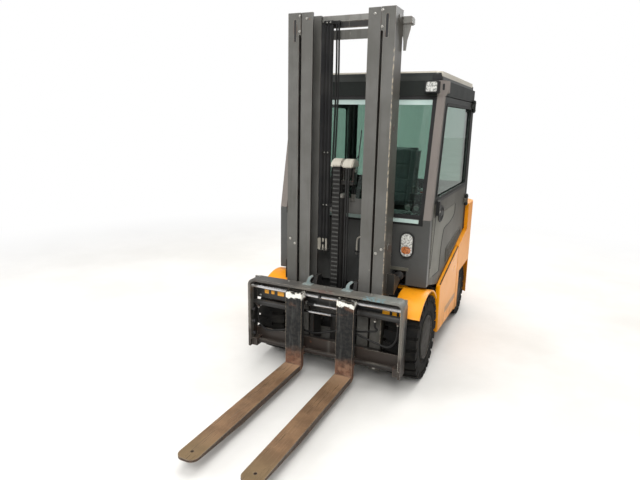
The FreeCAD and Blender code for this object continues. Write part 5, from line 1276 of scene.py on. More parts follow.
@dataclass
class Mast:
    """The mast's trim: slots, caps, glands, clamps, pipes and pulley guards."""

    face: float = -0.370
    rear: float = -0.220
    rail: tuple[float, float] = (0.276, 0.350)
    lift: tuple[float, float] = (0.296, -0.174)
    gland: float = 2.085
    free: tuple[float, float] = (-0.292, 1.270)
    axle: float = 1.425
    head: float = 2.3095
    pipes: tuple[float, ...] = (-0.150, -0.127, -0.102)

    def build(self) -> None:
        """Makes the small parts on each stage of the mast."""
        self.outer()
        self.inner()
        self.lines()
        self.cylinders()
        self.guards()

    def outer(self) -> None:
        """The outer rails' slots, bolts, cylinder clamps, pivot caps and weld beads."""
        trim = Shape("outer_rail_trim", "mast_outer", Slot.MAST, MAST_GREY, BLACK, ZINC)
        slot, centre = rounded(0.017, 0.130, 0.006), (0.300, self.face, 2.28)
        trim.ring(slot, 0.003, centre, ACROSS, UP, 0.0014, 0)
        # A black plate fills the slot: painted shade for its depth.
        trim.use(1).plate(slot, centre, ACROSS, UP, 0.0004, 0)
        for x, z, size in ((0.2695, 2.366, 0.0055), (0.2695, 2.275, 0.0055), (0.327, 0.945, 0.007),
                           (0.292, 0.915, 0.007), (0.313, 0.122, 0.008)):
            trim.use(2).bolt((x, self.face, z), -ALONG, size)
        for z in (0.25, 0.95, 1.70, 2.33):
            trim.use(0).button((self.rail[1], -0.295, z), ACROSS, 0.021, 0.003, 0.018, 0.004, 24)
        x, y = self.lift
        for z in (0.60, 1.44, 1.98):
            trim.turned((x, y, z), UP, [(0.0288, 0), (0.0335, 0.0005), (0.0335, 0.0275), (0.0288, 0.028)], 32)
            trim.block((x - 0.015, self.rear - 0.001, z), (x + 0.022, y - 0.024, z + 0.028))
        back = self.rear + 0.001
        for z in (0.275, 1.130, 1.230, 2.240, 2.296):
            trim.tube([(self.rail[1] - 0.004, back, z), (self.rail[0] - 0.02, back, z)], 0.004, 8, 3)
        trim.use(2).button((0.2585, -0.179, 0.242), ACROSS, 0.034, 0.004, 0.026, 0.007, 28)
        for z in (0.19, 1.155, 1.205, 2.268):
            for place in (0.06, 0.2):
                trim.bolt((place, -0.2045, z), ALONG, 0.009)
        trim.mirror().done()

    def inner(self) -> None:
        """The inner mast's grey head with its crowns, plates and bolts."""
        head = Shape("mast_head_trim", "mast_inner", Slot.MAST, HEAD_GREY, BLACK, ZINC, FRAME_BLACK)
        x, y = self.lift
        head.block((0.2640, -0.2172, self.head), (0.4020, -0.1405, 2.3535), 0.005)
        horn = [(0, 0.002), (0.056, 0.002), (0.052, -0.030), (0.036, -0.090), (0.030, -0.150), (0.014, -0.150),
                (0.012, -0.100), (0.004, -0.040)]
        head.plate(horn, (0.340, -0.1990, self.head), ACROSS, UP, 0.008, 0.001)
        head.disc((0.362, -0.2071, 2.262), -ALONG, 0.0105, 0.0006, 16)
        leg = [(-0.030, 0.002), (-0.030, -0.050), (-0.022, -0.050), (-0.019, -0.034), (-0.011, -0.024)]
        arch = [*leg, (0, -0.021), *((-u, v) for u, v in leg[::-1])]
        head.plate(arch, (x + 0.002, -0.1948, self.head), ACROSS, UP, 0.008, 0.001)
        head.use(1).disc((x + 0.014, -0.2172, 2.331), -ALONG, 0.0055, 0.0006, 16)
        head.use(2).bolt((x + 0.018, y + 0.005, 2.3535), UP, 0.010)
        head.bolt((x - 0.014, y + 0.012, 2.3535), UP, 0.007)
        head.bolt((0.222, -0.3655, 2.350), -ALONG, 0.0055)
        for number, low, thick, soft in ((0, 2.349, 0.0025, 0.0008), (3, 2.312, 0.0015, 0.0006)):
            plate = [(0, low), (0.252, low), (0.252, low + 0.035), (0, low + 0.035)]
            head.use(number).plate(plate, (0, -0.2141, 0), ACROSS, UP, thick, soft)
        head.mirror().done()

    def lines(self) -> None:
        """The pipes and hoses that run down the inner mast, their guide plate and clamps, and a dark plate behind the
        pipes that is painted shade.
        """
        lines = Shape("mast_pipes", "mast_inner", Slot.PLASTIC, HOSE, PALE_GREY, ZINC, BLACK)
        # A dark plate behind the pipes: painted shade, for the dark seen through the mast there.
        lines.use(3).plate(rounded(0.086, 1.380, 0.006), (-0.1365, -0.2378, 1.640), ACROSS, UP, 0.0014, 0)
        for place in self.pipes:
            lines.use(0).rod((place, -0.2435, 0.862), (place, -0.2435, 2.352), 0.0046, 12)
            lines.use(2).turned((place, -0.2435, 0.852), UP, [(0.0075, 0), (0.0075, 0.022), (0.005, 0.023)], 6)
        for low, back in ((1.168, -0.2370), (2.330, -0.2140), (1.52, -0.2380)):
            lines.use(0).block((self.pipes[0] - 0.010, -0.2495, low), (self.pipes[-1] + 0.010, back, low + 0.020))
            for place in (-0.1385, -0.1145):
                lines.use(2).bolt((place, -0.2495, low + 0.010), -ALONG, 0.0035)
        lines.use(0).block((-0.182, -0.2380, 1.516), (self.pipes[0], -0.2290, 1.544), 0.0015)
        lines.use(1).plate(rounded(0.072, 0.084, 0.010), (-0.147, -0.2285, 0.897), ACROSS, UP, 0.0095)
        lines.use(3).disc((-0.1385, -0.2381, 0.905), -ALONG, 0.0105, 0.0008, 20)
        bends = ((-0.062, -0.232, 2.345), (-0.056, -0.2345, 2.10), (-0.058, -0.2345, 1.80), (-0.066, -0.2345, 1.50),
                 (-0.070, -0.2420, 1.30), (-0.070, -0.2430, 1.165))
        for shift in (0.0, 0.016):
            lines.use(0).tube([(x - shift, y, z) for x, y, z in bends], 0.0062, 10, 6)
        lines.block((-0.096, -0.2495, 1.168), (-0.054, -0.2370, 1.188))
        lines.block((-0.096, -0.2400, 2.330), (-0.054, -0.2140, 2.350))
        lines.use(1).tube([(0.186, -0.234, 0.972), (0.150, -0.236, 0.980), (0.124, -0.236, 0.975),
                           (0.112, -0.236, 0.950), (0.112, -0.236, 0.860)], 0.0055, 10, 5)
        lines.use(2).turned((0.112, -0.236, 0.856), UP, [(0.009, 0), (0.009, 0.018), (0.006, 0.019)], 6)
        lines.use(0).block((0.098, -0.2440, 0.868), (0.184, -0.2290, 0.884))
        lines.done()

    def cylinders(self) -> None:
        """The lift cylinders' glands, ports and foot pipes."""
        x, y = self.lift
        glands = Shape("lift_glands", "mast_outer", Slot.BRIGHT, ZINC, FRAME_BLACK, HOSE)
        collar = [(0.0335, -0.014), (0.0345, -0.012), (0.0345, 0.001), (0.031, 0.004), (0.0190, 0.004)]
        glands.turned((x, y, self.gland), UP, collar, 32)
        sleeve = [(0.0290, 0), (0.0330, 0.002), (0.0330, 0.036), (0.0300, 0.037)]
        glands.use(1).turned((x, y, self.gland - 0.052), UP, sleeve, 32)
        glands.block((x - 0.014, y + 0.022, 0.43), (x + 0.014, y + 0.042, 0.462))
        glands.use(0).turned((x, y + 0.042, 0.446), ALONG, [(0.010, 0), (0.010, 0.010), (0.007, 0.011)], 6)
        glands.use(2).tube([(x, y + 0.045, 0.446), (x, y + 0.072, 0.444), (x - 0.02, y + 0.078, 0.40),
                            (x - 0.06, y + 0.030, 0.33), (x - 0.11, y + 0.010, 0.305)], 0.007, 10, 5)
        glands.use(1).block((x - 0.135, -0.205, 0.285), (x - 0.095, y + 0.018, 0.325))
        glands.mirror().done()
        place, top = self.free
        middle = Shape("free_lift_gland", "mast_inner", Slot.BRIGHT, ZINC, FRAME_BLACK)
        collar = [(0.0452, -0.024), (0.0470, -0.022), (0.0470, 0.001), (0.042, 0.005), (0.0218, 0.005)]
        middle.turned((0, place, top), UP, collar, 36)
        clamp = [(0.0415, 0), (0.0450, 0.001), (0.0450, 0.024), (0.0415, 0.025)]
        middle.use(1).turned((0, place, 0.60), UP, clamp, 36)
        middle.done()

    def guards(self) -> None:
        """The pale rounded guards over the chain's wheel and the hoses' pulley."""
        guards = Shape("pulley_guards", "crosshead", Slot.MAST, PALE_GREY, ZINC)
        turns = [math.radians(14 + 152 * i / 20) for i in range(21)]
        arc = [(0.0708 * math.cos(t), 0.0708 * math.sin(t)) for t in turns]
        for low, high in ((-0.0450, 0.0290), (0.0350, 0.1070)):
            guards.plate(arc, (low, self.free[0], self.axle + 0.004), ALONG, UP, high - low, 0.015)
        for x, way in ((-0.0420, -ACROSS), (0.1040, ACROSS)):
            guards.use(1).button((x, self.free[0], self.axle), way, 0.013, 0.004, 0.010, 0.006, 20)
        guards.done()


@dataclass
class Positioner:
    """The fork positioner's bright bars, rods, hoses, claws and blank patches."""

    back: float = -0.417
    rams: float = -0.444
    hose: float = 0.0068
    ends: tuple[float, float] = (-0.571, 0.517)

    def build(self) -> None:
        """Makes the positioner's small parts."""
        self.bars()
        self.patches()
        self.hydraulics()
        self.plate_trim()

    def bars(self) -> None:
        """The bright slide bars and the rods that move the forks, with their sleeves."""
        bars = Shape("slide_bars", "shifter", Slot.BRIGHT, CHROME, RUSTY_BAR)
        for number, z in enumerate((0.591, 0.184)):
            bars.use(number).rod((self.ends[0] + 0.001, -0.45, z), (self.ends[1] - 0.001, -0.45, z), 0.0163, 28)
        bars.done()
        sleeve = [(0.0135, 0), (0.0135, 0.050), (0.0115, 0.052), (0.0115, 0.062), (0.0095, 0.063)]
        for side, z, x, way, reach in (("left", 0.470, 0.088, -1, 0.52), ("right", 0.525, -0.163, 1, 0.54)):
            rods = Shape(f"pusher_rod_{side}", f"fork_{side}", Slot.BRIGHT, CHROME, HOSE, ZINC)
            start = (x, self.rams, z)
            rods.rod(start, (x + way * reach, self.rams, z), 0.0093)
            rods.use(1).turned(start, ACROSS * way, sleeve, 20)
            rods.use(2).turned(start, ACROSS * way, [(0.018, 0), (0.018, 0.010), (0.015, 0.012)], 6)
            rods.done()

    def patches(self) -> None:
        """Blank yellow patches on the upper beam, and its small bolts."""
        patches = Shape("beam_patches", "shifter", Slot.YELLOW, PATCH, ZINC)
        rows = ((-0.488, 0.034, 0.038, 0.552), (-0.438, 0.026, 0.034, 0.552), (-0.374, 0.052, 0.038, 0.550),
                (0.396, 0.048, 0.044, 0.548), (0.452, 0.030, 0.034, 0.545), (0.497, 0.026, 0.042, 0.545))
        for x, wide, tall, z in rows:
            patches.plate(rounded(wide, tall, 0.004), (x, self.back, z), ACROSS, UP, 0.0022, 0.0006)
        for x in (-0.54, -0.27, 0.27, 0.35):
            patches.use(1).bolt((x, self.back, 0.515), -ALONG, 0.006)
        patches.done()

    def hydraulics(self) -> None:
        """The rams' glands and ports, and the hoses that feed them."""
        lines = Shape("shifter_hoses", "shifter", Slot.PLASTIC, HOSE, ZINC, FRAME_BLACK)
        collar = [(0.0115, -0.004), (0.0235, -0.003), (0.0235, 0.016), (0.0215, 0.017)]
        fitting = [(0.0085, 0), (0.0085, 0.010), (0.006, 0.011), (0.006, 0.020)]
        far_bends = ((0, -0.444, 0.045), (0, -0.446, 0.085), (0.012, -0.447, 0.150), (0.060, -0.440, 0.200),
                     (0.150, -0.436, 0.190))
        near_bends = ((0, -0.444, 0.045), (0, -0.445, 0.075), (-0.008, -0.442, 0.105))
        for z, gland, base, near, way in ((0.525, 0.218, 0.517, 0.334, 1), (0.470, -0.272, -0.571, -0.306, -1)):
            lines.use(2).turned((gland, self.rams, z), ACROSS * way, collar, 28)
            far, end = base - way * 0.030, gland - way * 0.071
            for place in (near, far):
                lines.use(2).block((place - 0.010, -0.456, z - 0.033), (place + 0.010, -0.432, z - 0.016), 0.0015)
                lines.use(1).turned((place, self.rams, z - 0.032), -UP, fitting, 6)
            lines.use(0).tube([*((far - way * u, y, z - v) for u, y, v in far_bends),
                               (gland - way * 0.016, -0.434, z - 0.155), (end, -0.430, z - 0.150)], self.hose, 12, 8)
            lines.tube([*((near - way * u, y, z - v) for u, y, v in near_bends),
                        (gland - way * 0.001, -0.436, z - 0.135), (end, -0.430, z - 0.130)], self.hose, 12, 8)
        lines.use(2).block((0.080, -0.4440, 0.335), (0.160, -0.4170, 0.400), 0.003)
        lines.block((-0.215, -0.4440, 0.290), (-0.185, -0.4170, 0.350), 0.003)
        link = [(0.082, -0.430, 0.368), (0.02, -0.434, 0.350), (-0.09, -0.434, 0.318), (-0.186, -0.430, 0.320)]
        lines.use(0).tube(link, self.hose, 12, 8)
        strap = [(-0.056, 0.645), (-0.046, 0.645), (-0.045, 0.595), (-0.049, 0.560), (-0.056, 0.562)]
        lines.plate(strap, (0, -0.4780, 0), ACROSS, UP, 0.0022, 0)
        lines.done()

    def plate_trim(self) -> None:
        """The claws that stand on the top plate, its bolts, and the end plates' bright strips and studs."""
        trim = Shape("frame_claws", "shifter", Slot.FRAME, CLAW_STEEL, ZINC, BLACK)
        claw = [(-0.024, -0.001), (0.024, -0.001), (0.018, 0.012), (0.015, 0.026), (0.020, 0.040), (0.030, 0.051),
                (0.040, 0.057), (0.036, 0.068), (0.020, 0.064), (0.004, 0.052), (-0.006, 0.036), (-0.012, 0.014)]
        foot = [(-0.034, -0.026), (0.036, -0.026), (0.036, 0.020), (-0.034, 0.020)]
        for x in (-0.158, 0.128):
            trim.plate(claw, (x, -0.420, 0.657), ACROSS, UP, 0.012, 0.002)
            trim.plate(foot, (x, -0.428, 0.6565), ACROSS, ALONG, 0.004, 0.001)
        trim.use(1)
        for x in (-0.53, -0.30, -0.03, 0.30, 0.47):
            trim.bolt((x, -0.436, 0.657), UP, 0.006)
        strip = [(0, 0.20), (0.0022, 0.20), (0.0022, 0.608), (0, 0.608)]
        for x in (self.ends[0], self.ends[1] - 0.0022):
            trim.plate(strip, (x, -0.506, 0), ACROSS, UP, -0.040, 0)
        for z in (0.24, 0.33, 0.42):
            trim.use(2).button((self.ends[0] + 0.001, -0.470, z), ACROSS, 0.013, 0.012, 0.009, 0.018, 14)
        trim.done()


@dataclass
class Cab:
    """The cab's window seals, brackets, roof trim, console fittings and lamps."""

    foot: Point = (0.0, -0.0680, 1.105)
    head: Point = (0.0, 0.1000, 1.911)
    half: float = 0.515

    def build(self) -> None:
        """Makes the cab's fixed small parts."""
        self.seals()
        self.posts()
        self.roof()
        self.lamps()
        self.console()

    def seals(self) -> None:
        """The rubber round three windows, the windscreen's foot bar, two pale strips painted as reflections on the
        windscreen, at its top and above its foot bar, and the wiper.
        """
        foot, head = Vector(self.foot), Vector(self.head)
        rise = (head - foot).normalized()
        out, middle, tall = ACROSS.cross(rise), (head + foot) / 2, (head - foot).length
        seals = Shape("window_seals", "chassis", Slot.PLASTIC, GASKET, GREY_TRIM, BLACK, GLARE_BAND)
        seals.ring(rounded(self.half * 2, tall, 0.02), -0.026, middle, ACROSS, rise, 0.008, 0.002)
        band = middle + rise * (tall / 2 - 0.044) + out * 0.0005
        # Pale strips painted on the windscreen as reflections: one at its top, one above the foot bar.
        seals.use(3).plate(rounded(0.972, 0.034, 0.003), band, ACROSS, rise, 0.0012, 0)
        seals.block((-0.485, -0.0840, 1.0770), (0.485, -0.0795, 1.1030), 0.001)
        seals.use(0).block((-0.515, -0.0836, 1.0620), (0.515, -0.0795, 1.0765))
        for x in (-0.5, 0.5):
            seals.block((x - 0.0145, -0.0832, 1.0700), (x + 0.0145, -0.0780, 1.1120))
        seals.ring(rounded(1.03, 0.739, 0.03), -0.022, (0, 1.2665, 1.5415), -ACROSS, UP, 0.008, 0.002)
        seals.ring(rounded(0.872, 0.975, 0.03), -0.018, (0, 0.6955, 2.0185), ACROSS, ALONG, 0.008, 0.002)
        pivot = foot - ACROSS * 0.16 + rise * 0.045
        seals.use(2).button(pivot + out * 0.001, out, 0.016, 0.012, 0.011, 0.018, 20)
        tip = pivot + rise * 0.36 + ACROSS * 0.17
        arm = [pivot + out * 0.014, pivot + (tip - pivot) * 0.4 + out * 0.016, tip + out * 0.010]
        seals.tube(arm, 0.0035, 8, 4)
        seals.rod(tip - rise * 0.20 + out * 0.004, tip + rise * 0.18 + out * 0.004, 0.0036, 8)
        seals.done()

    def posts(self) -> None:
        """The brackets at the posts' heads, the hinge covers and the ball inside the front post."""
        posts = Shape("post_brackets", "chassis", Slot.CAB, POST_GREY, BLACK, ZINC)
        plate = [(-0.020, -0.052), (0.026, -0.052), (0.028, -0.034), (0.036, -0.020), (0.038, 0.030), (0.034, 0.040),
                 (-0.020, 0.040)]
        posts.plate(plate, (0.552, 0.0880, 1.962), ACROSS, UP, 0.004, 0.001)
        posts.use(1).plate(rounded(0.015, 0.042, 0.0073, 6), (0.5545, 0.0838, 1.965), ACROSS, UP, 0.0006, 0)
        posts.use(0).block((0.566, 0.0885, 1.925), (0.5895, 0.1300, 2.0015), 0.003)
        for z in (1.080, 1.875):
            posts.use(1).block((0.5655, 1.2095, z - 0.052), (0.5895, 1.2480, z + 0.052), 0.006)
            posts.use(2).bolt((0.5895, 1.2285, z + 0.030), ACROSS, 0.005)
            posts.bolt((0.5895, 1.2285, z - 0.030), ACROSS, 0.005)
        posts.use(1).tube([(0.548, 0.060, 1.600), (0.520, 0.110, 1.600), (0.486, 0.150, 1.585)], 0.007, 10, 4)
        ball = [(0.024 * math.sin(math.pi * i / 10), -0.024 * math.cos(math.pi * i / 10)) for i in range(11)]
        posts.turned((0.480, 0.155, 1.580), UP, ball, 20)
        posts.block((0.535, 0.046, 1.585), (0.555, 0.066, 1.615), 0.003)
        posts.mirror().done()

    def roof(self) -> None:
        """The roof's end blocks, its drip edge and the bolts of its bars."""
        roof = Shape("roof_trim", "chassis", Slot.ROOF, BLACK, CREAM, ZINC)
        for y in (0.1045, 1.3700):
            end = y + (0.0135 if y < 1 else 0.0130)
            roof.block((0.470, y, 2.0095), (0.5325, end, 2.0490), 0.004)
        roof.tube([(0.5335, y, 2.012) for y in (0.150, 0.60, 1.33)], 0.004, 8, 8)
        for y in (0.165, 0.700, 1.240):
            dome = [(0.012, 0), (0.011, 0.002), (0.006, 0.0045), (0, 0.005)]
            roof.use(2).turned((0.484, y, 2.0678), UP, dome, 18)
        roof.mirror().done()

    def lamps(self) -> None:
        """The work lamps' faces, the head lamps' oval lenses and the tail lamps' three lenses."""
        lamps = Shape("lamp_lenses", "chassis", Slot.LAMP, CLEAR, ORANGE, RED, BLACK, FRAME_BLACK)
        face, place = rounded(0.072, 0.062, 0.008), (0.485, 0.0385, 1.965)
        lamps.plate(face, place, ACROSS, UP, 0.0025, 0.0008)
        lamps.use(3).ring(face, 0.0075, place, ACROSS, UP, 0.009, 0.002)
        for i in range(6):
            lamps.block((0.449, 0.0885, 1.936 + 0.0105 * i), (0.521, 0.1040, 1.940 + 0.0105 * i), 0.0008)
        lens, place = rounded(0.078, 0.158, 0.036, 8), (0.418, -0.0958, 0.926)
        lamps.use(0).plate(lens, place, ACROSS, UP, 0.009, 0.004)
        lamps.use(1).plate(rounded(0.064, 0.050, 0.022, 6), (0.417, -0.1046, 0.892), ACROSS, UP, 0.0035)
        lamps.use(3).ring(lens, 0.0085, place, ACROSS, UP, 0.008, 0.003)
        for number, z in ((2, 1.812), (1, 1.774), (0, 1.736)):
            lamps.use(number).plate(rounded(0.029, 0.033, 0.004), (0.540, 1.3155, z), -ACROSS, UP, 0.004)
        outer, inner = rounded(0.038, 0.150, 0.006), rounded(0.032, 0.118, 0.005)
        lamps.use(3).between(outer, inner, (0.540, 1.3155, 1.774), -ACROSS, UP, 0.005, 0.0015)
        lamps.mirror().done()

    def console(self) -> None:
        """The front console's strip, hook and seals, and the tilt cylinders' glands."""
        console = Shape("console_fittings", "chassis", Slot.CAB, CAB_GREY, ZINC, BLACK, PANEL_GREEN)
        console.use(3).plate(rounded(0.130, 0.024, 0.004), (0.371, -0.0802, 0.752), ACROSS, UP, 0.004, 0.001)
        hook = [(0.262, -0.078, 0.765), (0.262, -0.086, 0.765), (0.276, -0.091, 0.780), (0.298, -0.092, 0.812),
                (0.308, -0.092, 0.836), (0.300, -0.092, 0.853), (0.284, -0.092, 0.857), (0.276, -0.091, 0.848)]
        console.use(1).tube(hook, 0.0052, 12, 5)
        console.button((0.262, -0.0800, 0.765), -ALONG, 0.014, 0.003, 0.009, 0.005, 18)
        console.use(2).ring(rounded(0.102, 0.120, 0.014), -0.004, (0.372, -0.0800, 0.697), ACROSS, UP, 0.003, 0.001)
        console.mirror().done()
        glands = Shape("tilt_glands", "tilt_barrels", Slot.BRIGHT, FRAME_BLACK)
        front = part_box("tilt_barrels")[0].y
        collar = [(0.0270, -0.004), (0.0315, -0.003), (0.0315, 0.004), (0.0285, 0.006), (0.0200, 0.006)]
        glands.turned((0.372, front, 0.700), -ALONG, collar, 32)
        glands.mirror().done()


@dataclass
class Door:
    """One door's panel, handle, lock, vent and seals."""

    side: str
    face: float = 0.565
    seam: Outline = ((0.756, 1.107), (0.747, 1.029), (0.583, 0.987), (0.385, 0.975), (0.340, 0.919), (0.307, 0.834),
                     (0.295, 0.743), (0.285, 0.667))
    window: Outline = ((0.043, 1.232), (1.159, 1.232), (1.159, 1.859), (0.172, 1.859))
    slope: Outline = ((0.520, 0.678), (1.105, 0.802), (1.085, 0.852), (0.514, 0.786))
    bars: int = 24

    def build(self) -> None:
        """Makes the door's small parts."""
        door = Shape(f"door_trim_{self.side}", f"door_{self.side}", Slot.CAB, PANEL_GREEN, GASKET, BLACK, ZINC, DOOR_GREY)
        edge = [(p.x, p.y) for p in smooth_line([Vector((y, z, 0)) for y, z in self.seam], 3)]
        panel = edge + [(0.082, 0.680), (-0.012, 0.688), (-0.012, 1.092), (-0.010, 1.107)]
        door.plate(panel, (self.face, 0, 0), ALONG, UP, 0.0022, 0.0008)
        foot = ((0.285, 0.667), (0.183, 0.6735), (0.082, 0.680))
        front = ((0.078, 1.206), (0.026, 0.895), (-0.010, 0.760))
        for points, out, radius, steps in ((edge[::3], 0.0012, 0.0036, 3), (foot, 0.0012, 0.003, 2),
                                           (front, 0.001, 0.003, 4)):
            door.use(1).tube([(self.face + out, y, z) for y, z in points], radius, 8, steps)
        pane = filleted(self.window, 0.05, 5)
        for x, thick in ((self.face, 0.004), (0.535, -0.004)):
            door.between(grown(pane, 0.012), grown(pane, -0.011), (x, 0, 0), ALONG, UP, thick, 0.0015)
        self.handle(door)
        self.vent(door)
        if self.side == "right":
            door.mirror(keep=False)
        door.done()

    def handle(self, door: Shape) -> None:
        """Adds the oval recess with its paddle, and the lock."""
        x, y, z = self.face + 0.0020, 0.222, 1.108
        door.use(1).plate(oval(0.074, 0.050), (x, y, z), ALONG, UP, 0.0012, 0)
        door.use(2).between(oval(0.086, 0.060), oval(0.073, 0.048), (x, y, z), ALONG, UP, 0.005, 0.0015)
        door.plate(rounded(0.104, 0.036, 0.014), (x + 0.001, 0.216, 1.112), ALONG, UP, 0.009, 0.003)
        door.use(3).button((0.5908, 0.070, 1.145), ACROSS, 0.009, 0.002, 0.006, 0.003, 20)

    def vent(self, door: Shape) -> None:
        """Adds the sloping vent with its bars."""
        outline, at = filleted(self.slope, 0.012, 3), (self.face, 0, 0)
        # A dark plate behind the bars: painted shade in the vent's openings.
        door.use(1).plate(outline, at, ALONG, UP, 0.0012, 0)
        door.use(4).ring(outline, 0.007, at, ALONG, UP, 0.005, 0.0015)
        corners = [Vector(corner) for corner in self.slope]
        for i in range(1, self.bars):
            low, top = corners[0].lerp(corners[1], i / self.bars), corners[3].lerp(corners[2], i / self.bars)
            run = top - low
            side = Vector((run.y, -run.x)).normalized() * 0.0045
            door.plate([low - side, low + side, top + side, top - side], at, ALONG, UP, 0.0040, 0)


@dataclass
class Interior:
    """The driver's place: the seat's padding and frame, the wheel, levers, dials, pedals and mat."""

    frames: int = 20
    voxel: float = 0.0065
    pressure: float = 4.0
    quality: int = 6
    fill: float = 0.6
    margin: float = 0.0006

    def build(self) -> None:
        """Makes everything inside the cab."""
        self.pad("cushion_pad", "seat_cushion", (0, 0.7025, 0.946), (0.466, 0.432, 0.076), 0.0, 0.016)
        self.pad("back_pad", "seat_back", (0, 0.940, 1.280), (0.436, 0.078, 0.530), -13.2, 0.014)
        self.frame()
        self.wheel()
        self.levers()
        self.dash()
        self.floor()

    def pad(self, name: str, node: str, middle: Point, size: Point, lean: float, cap: float) -> None:
        """Makes one pad and puts it in place of its solid.

        Args:
            name: The pad's name.
            node: The CAD node that it stands in for.
            middle: Its middle.
            size: Its size before it swells.
            lean: How far it leans back, in degrees.
            cap: How far a point may move.
        """
        low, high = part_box(node)
        piece = self.pillow(name, size)
        self.swell(piece, cap)
        piece.modifiers.new("finer", "SUBSURF").levels = 1
        self.settle(piece)
        self.channels(piece.data, size)
        turn = Matrix.Rotation(math.radians(lean), 4, "X")
        for vert in piece.data.vertices:
            spot = turn @ vert.co + Vector(middle)
            for k in range(3):
                spot[k] = min(max(spot[k], low[k] + self.margin), high[k] - self.margin)
            vert.co = spot
        piece.data.shade_smooth()
        piece.data.materials.clear()
        piece.data.materials.append(material(Cloth()))
        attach(piece, "chassis")
        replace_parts(piece, node)
        log.info("%s padded, %d faces", name, len(piece.data.polygons))

    def pillow(self, name: str, size: Point) -> bpy.types.Object:
        """Makes a rounded block with slightly waisted sides.

        Args:
            name: The block's name.
            size: Its size.

        Returns:
            The block.
        """
        mesh, thin = bmesh.new(), min(size)
        bmesh.ops.create_cube(mesh, size=1.0)
        bmesh.ops.scale(mesh, vec=size, verts=mesh.verts)
        bmesh.ops.bevel(mesh, geom=list(mesh.edges), offset=thin * 0.36, segments=4, affect="EDGES")
        for vert in mesh.verts:
            for axis, wide in enumerate(size):
                if wide > thin:
                    others = [2 * abs(vert.co[k]) / size[k] for k in range(3) if k != axis and size[k] > thin]
                    vert.co[axis] *= 1.0 - 0.03 * (1.0 - max(others, default=1.0) ** 2)
        data = bpy.data.meshes.new(name)
        mesh.to_mesh(data)
        mesh.free()
        piece = bpy.data.objects.new(name, data)
        bpy.context.scene.collection.objects.link(piece)
        remesh = piece.modifiers.new("voxels", "REMESH")
        remesh.mode = "VOXEL"
        remesh.voxel_size = self.voxel
        self.settle(piece)
        return piece

    def swell(self, piece: bpy.types.Object, cap: float) -> None:
        """Blows a pad up with a cloth simulation.

        Args:
            piece: The pad.
            cap: How far a point may move.
        """
        start = [v.co.copy() for v in piece.data.vertices]
        cloth = piece.modifiers.new("padding", "CLOTH").settings
        cloth.use_pressure = True
        cloth.uniform_pressure_force = self.pressure
        cloth.effector_weights.gravity = 0.0
        cloth.quality = self.quality
        for step in range(1, self.frames + 1):
            bpy.context.scene.frame_set(step)
        self.settle(piece)
        bpy.context.scene.frame_set(1)
        for vert, old in zip(piece.data.vertices, start):
            move = vert.co - old
            if move.length > cap:
                vert.co = old + move.normalized() * cap

    def settle(self, piece: bpy.types.Object) -> None:
        """Applies all of a piece's modifiers to its mesh."""
        graph = bpy.context.evaluated_depsgraph_get()
        mesh = bpy.data.meshes.new_from_object(piece.evaluated_get(graph))
        piece.modifiers.clear()
        old = piece.data
        piece.data = mesh
        bpy.data.meshes.remove(old)

    def channels(self, data: bpy.types.Mesh, size: Point) -> None:
        """Presses the sewn channels into a pad's broad face.

        Args:
            data: The pad's mesh.
            size: The pad's size before it swelled.
        """
        thin = size.index(min(size))
        long, front = (1, 1) if thin == 2 else (2, -1)

        def seam(along: float, axis: int, line: float, width: float) -> float:
            """How deep a seam is at a place along an axis, from 0 to 1."""
            return math.exp(-((along / size[axis] - line) * size[axis] / width) ** 2)

        for vert in data.vertices:
            out = front * vert.co[thin] / (size[thin] / 2)
            if out < 0.2:
                continue
            deep = max(seam(vert.co.x, 0, line, 0.006) for line in (-0.30, 0.30))
            if abs(vert.co.x) < 0.30 * size[0]:
                deep = max(deep, *(seam(vert.co[long], long, line, 0.005) for line in (-0.28, -0.05, 0.18)))
            ripple = noise.noise(vert.co * 14) * 0.0012
            vert.co[thin] -= front * (deep * 0.010 * min(1.0, out) - ripple)

    def frame(self) -> None:
        """The seat's bellows, rails, lever and belt."""
        seat = Shape("seat_fittings", "chassis", Slot.PLASTIC, BLACK, GREY_TRIM, ZINC, RED, HOSE)
        for i in range(5):
            inset = 0.006 if i % 2 else 0.0
            wall, at = rounded(0.416 - inset, 0.421 - inset, 0.03), (0, 0.7025, 0.842 + 0.0115 * i)
            seat.use(4).ring(wall, -0.014, at, ACROSS, ALONG, 0.0085, 0.002)
        for x in (-0.160, 0.160):
            seat.use(2).block((x - 0.014, 0.515, 0.8305), (x + 0.014, 0.915, 0.8400), 0.0015)
        seat.use(1).tube([(0.215, 0.52, 0.895), (0.250, 0.50, 0.892), (0.262, 0.47, 0.888)], 0.006, 10, 4)
        knob = [(0.010, 0), (0.012, 0.006), (0.012, 0.024), (0.008, 0.030), (0, 0.031)]
        seat.use(0).turned((0.262, 0.472, 0.888), Vector((0, -0.032, -0.002)), knob, 16)
        tongue = [(-0.012, 0), (0.012, 0), (0.010, 0.055), (-0.010, 0.055)]
        for x, way in ((-0.262, -1), (0.262, 1)):
            seat.use(2).plate(tongue, (x, 0.860, 0.915), ALONG, UP, 0.004 * way, 0.001)
            seat.use(0).block((x - 0.010, 0.838, 0.965), (x + 0.012, 0.882, 1.030), 0.005)
            seat.use(3).block((x - 0.005, 0.848, 1.030), (x + 0.007, 0.872, 1.0335), 0.001)
        seat.done()

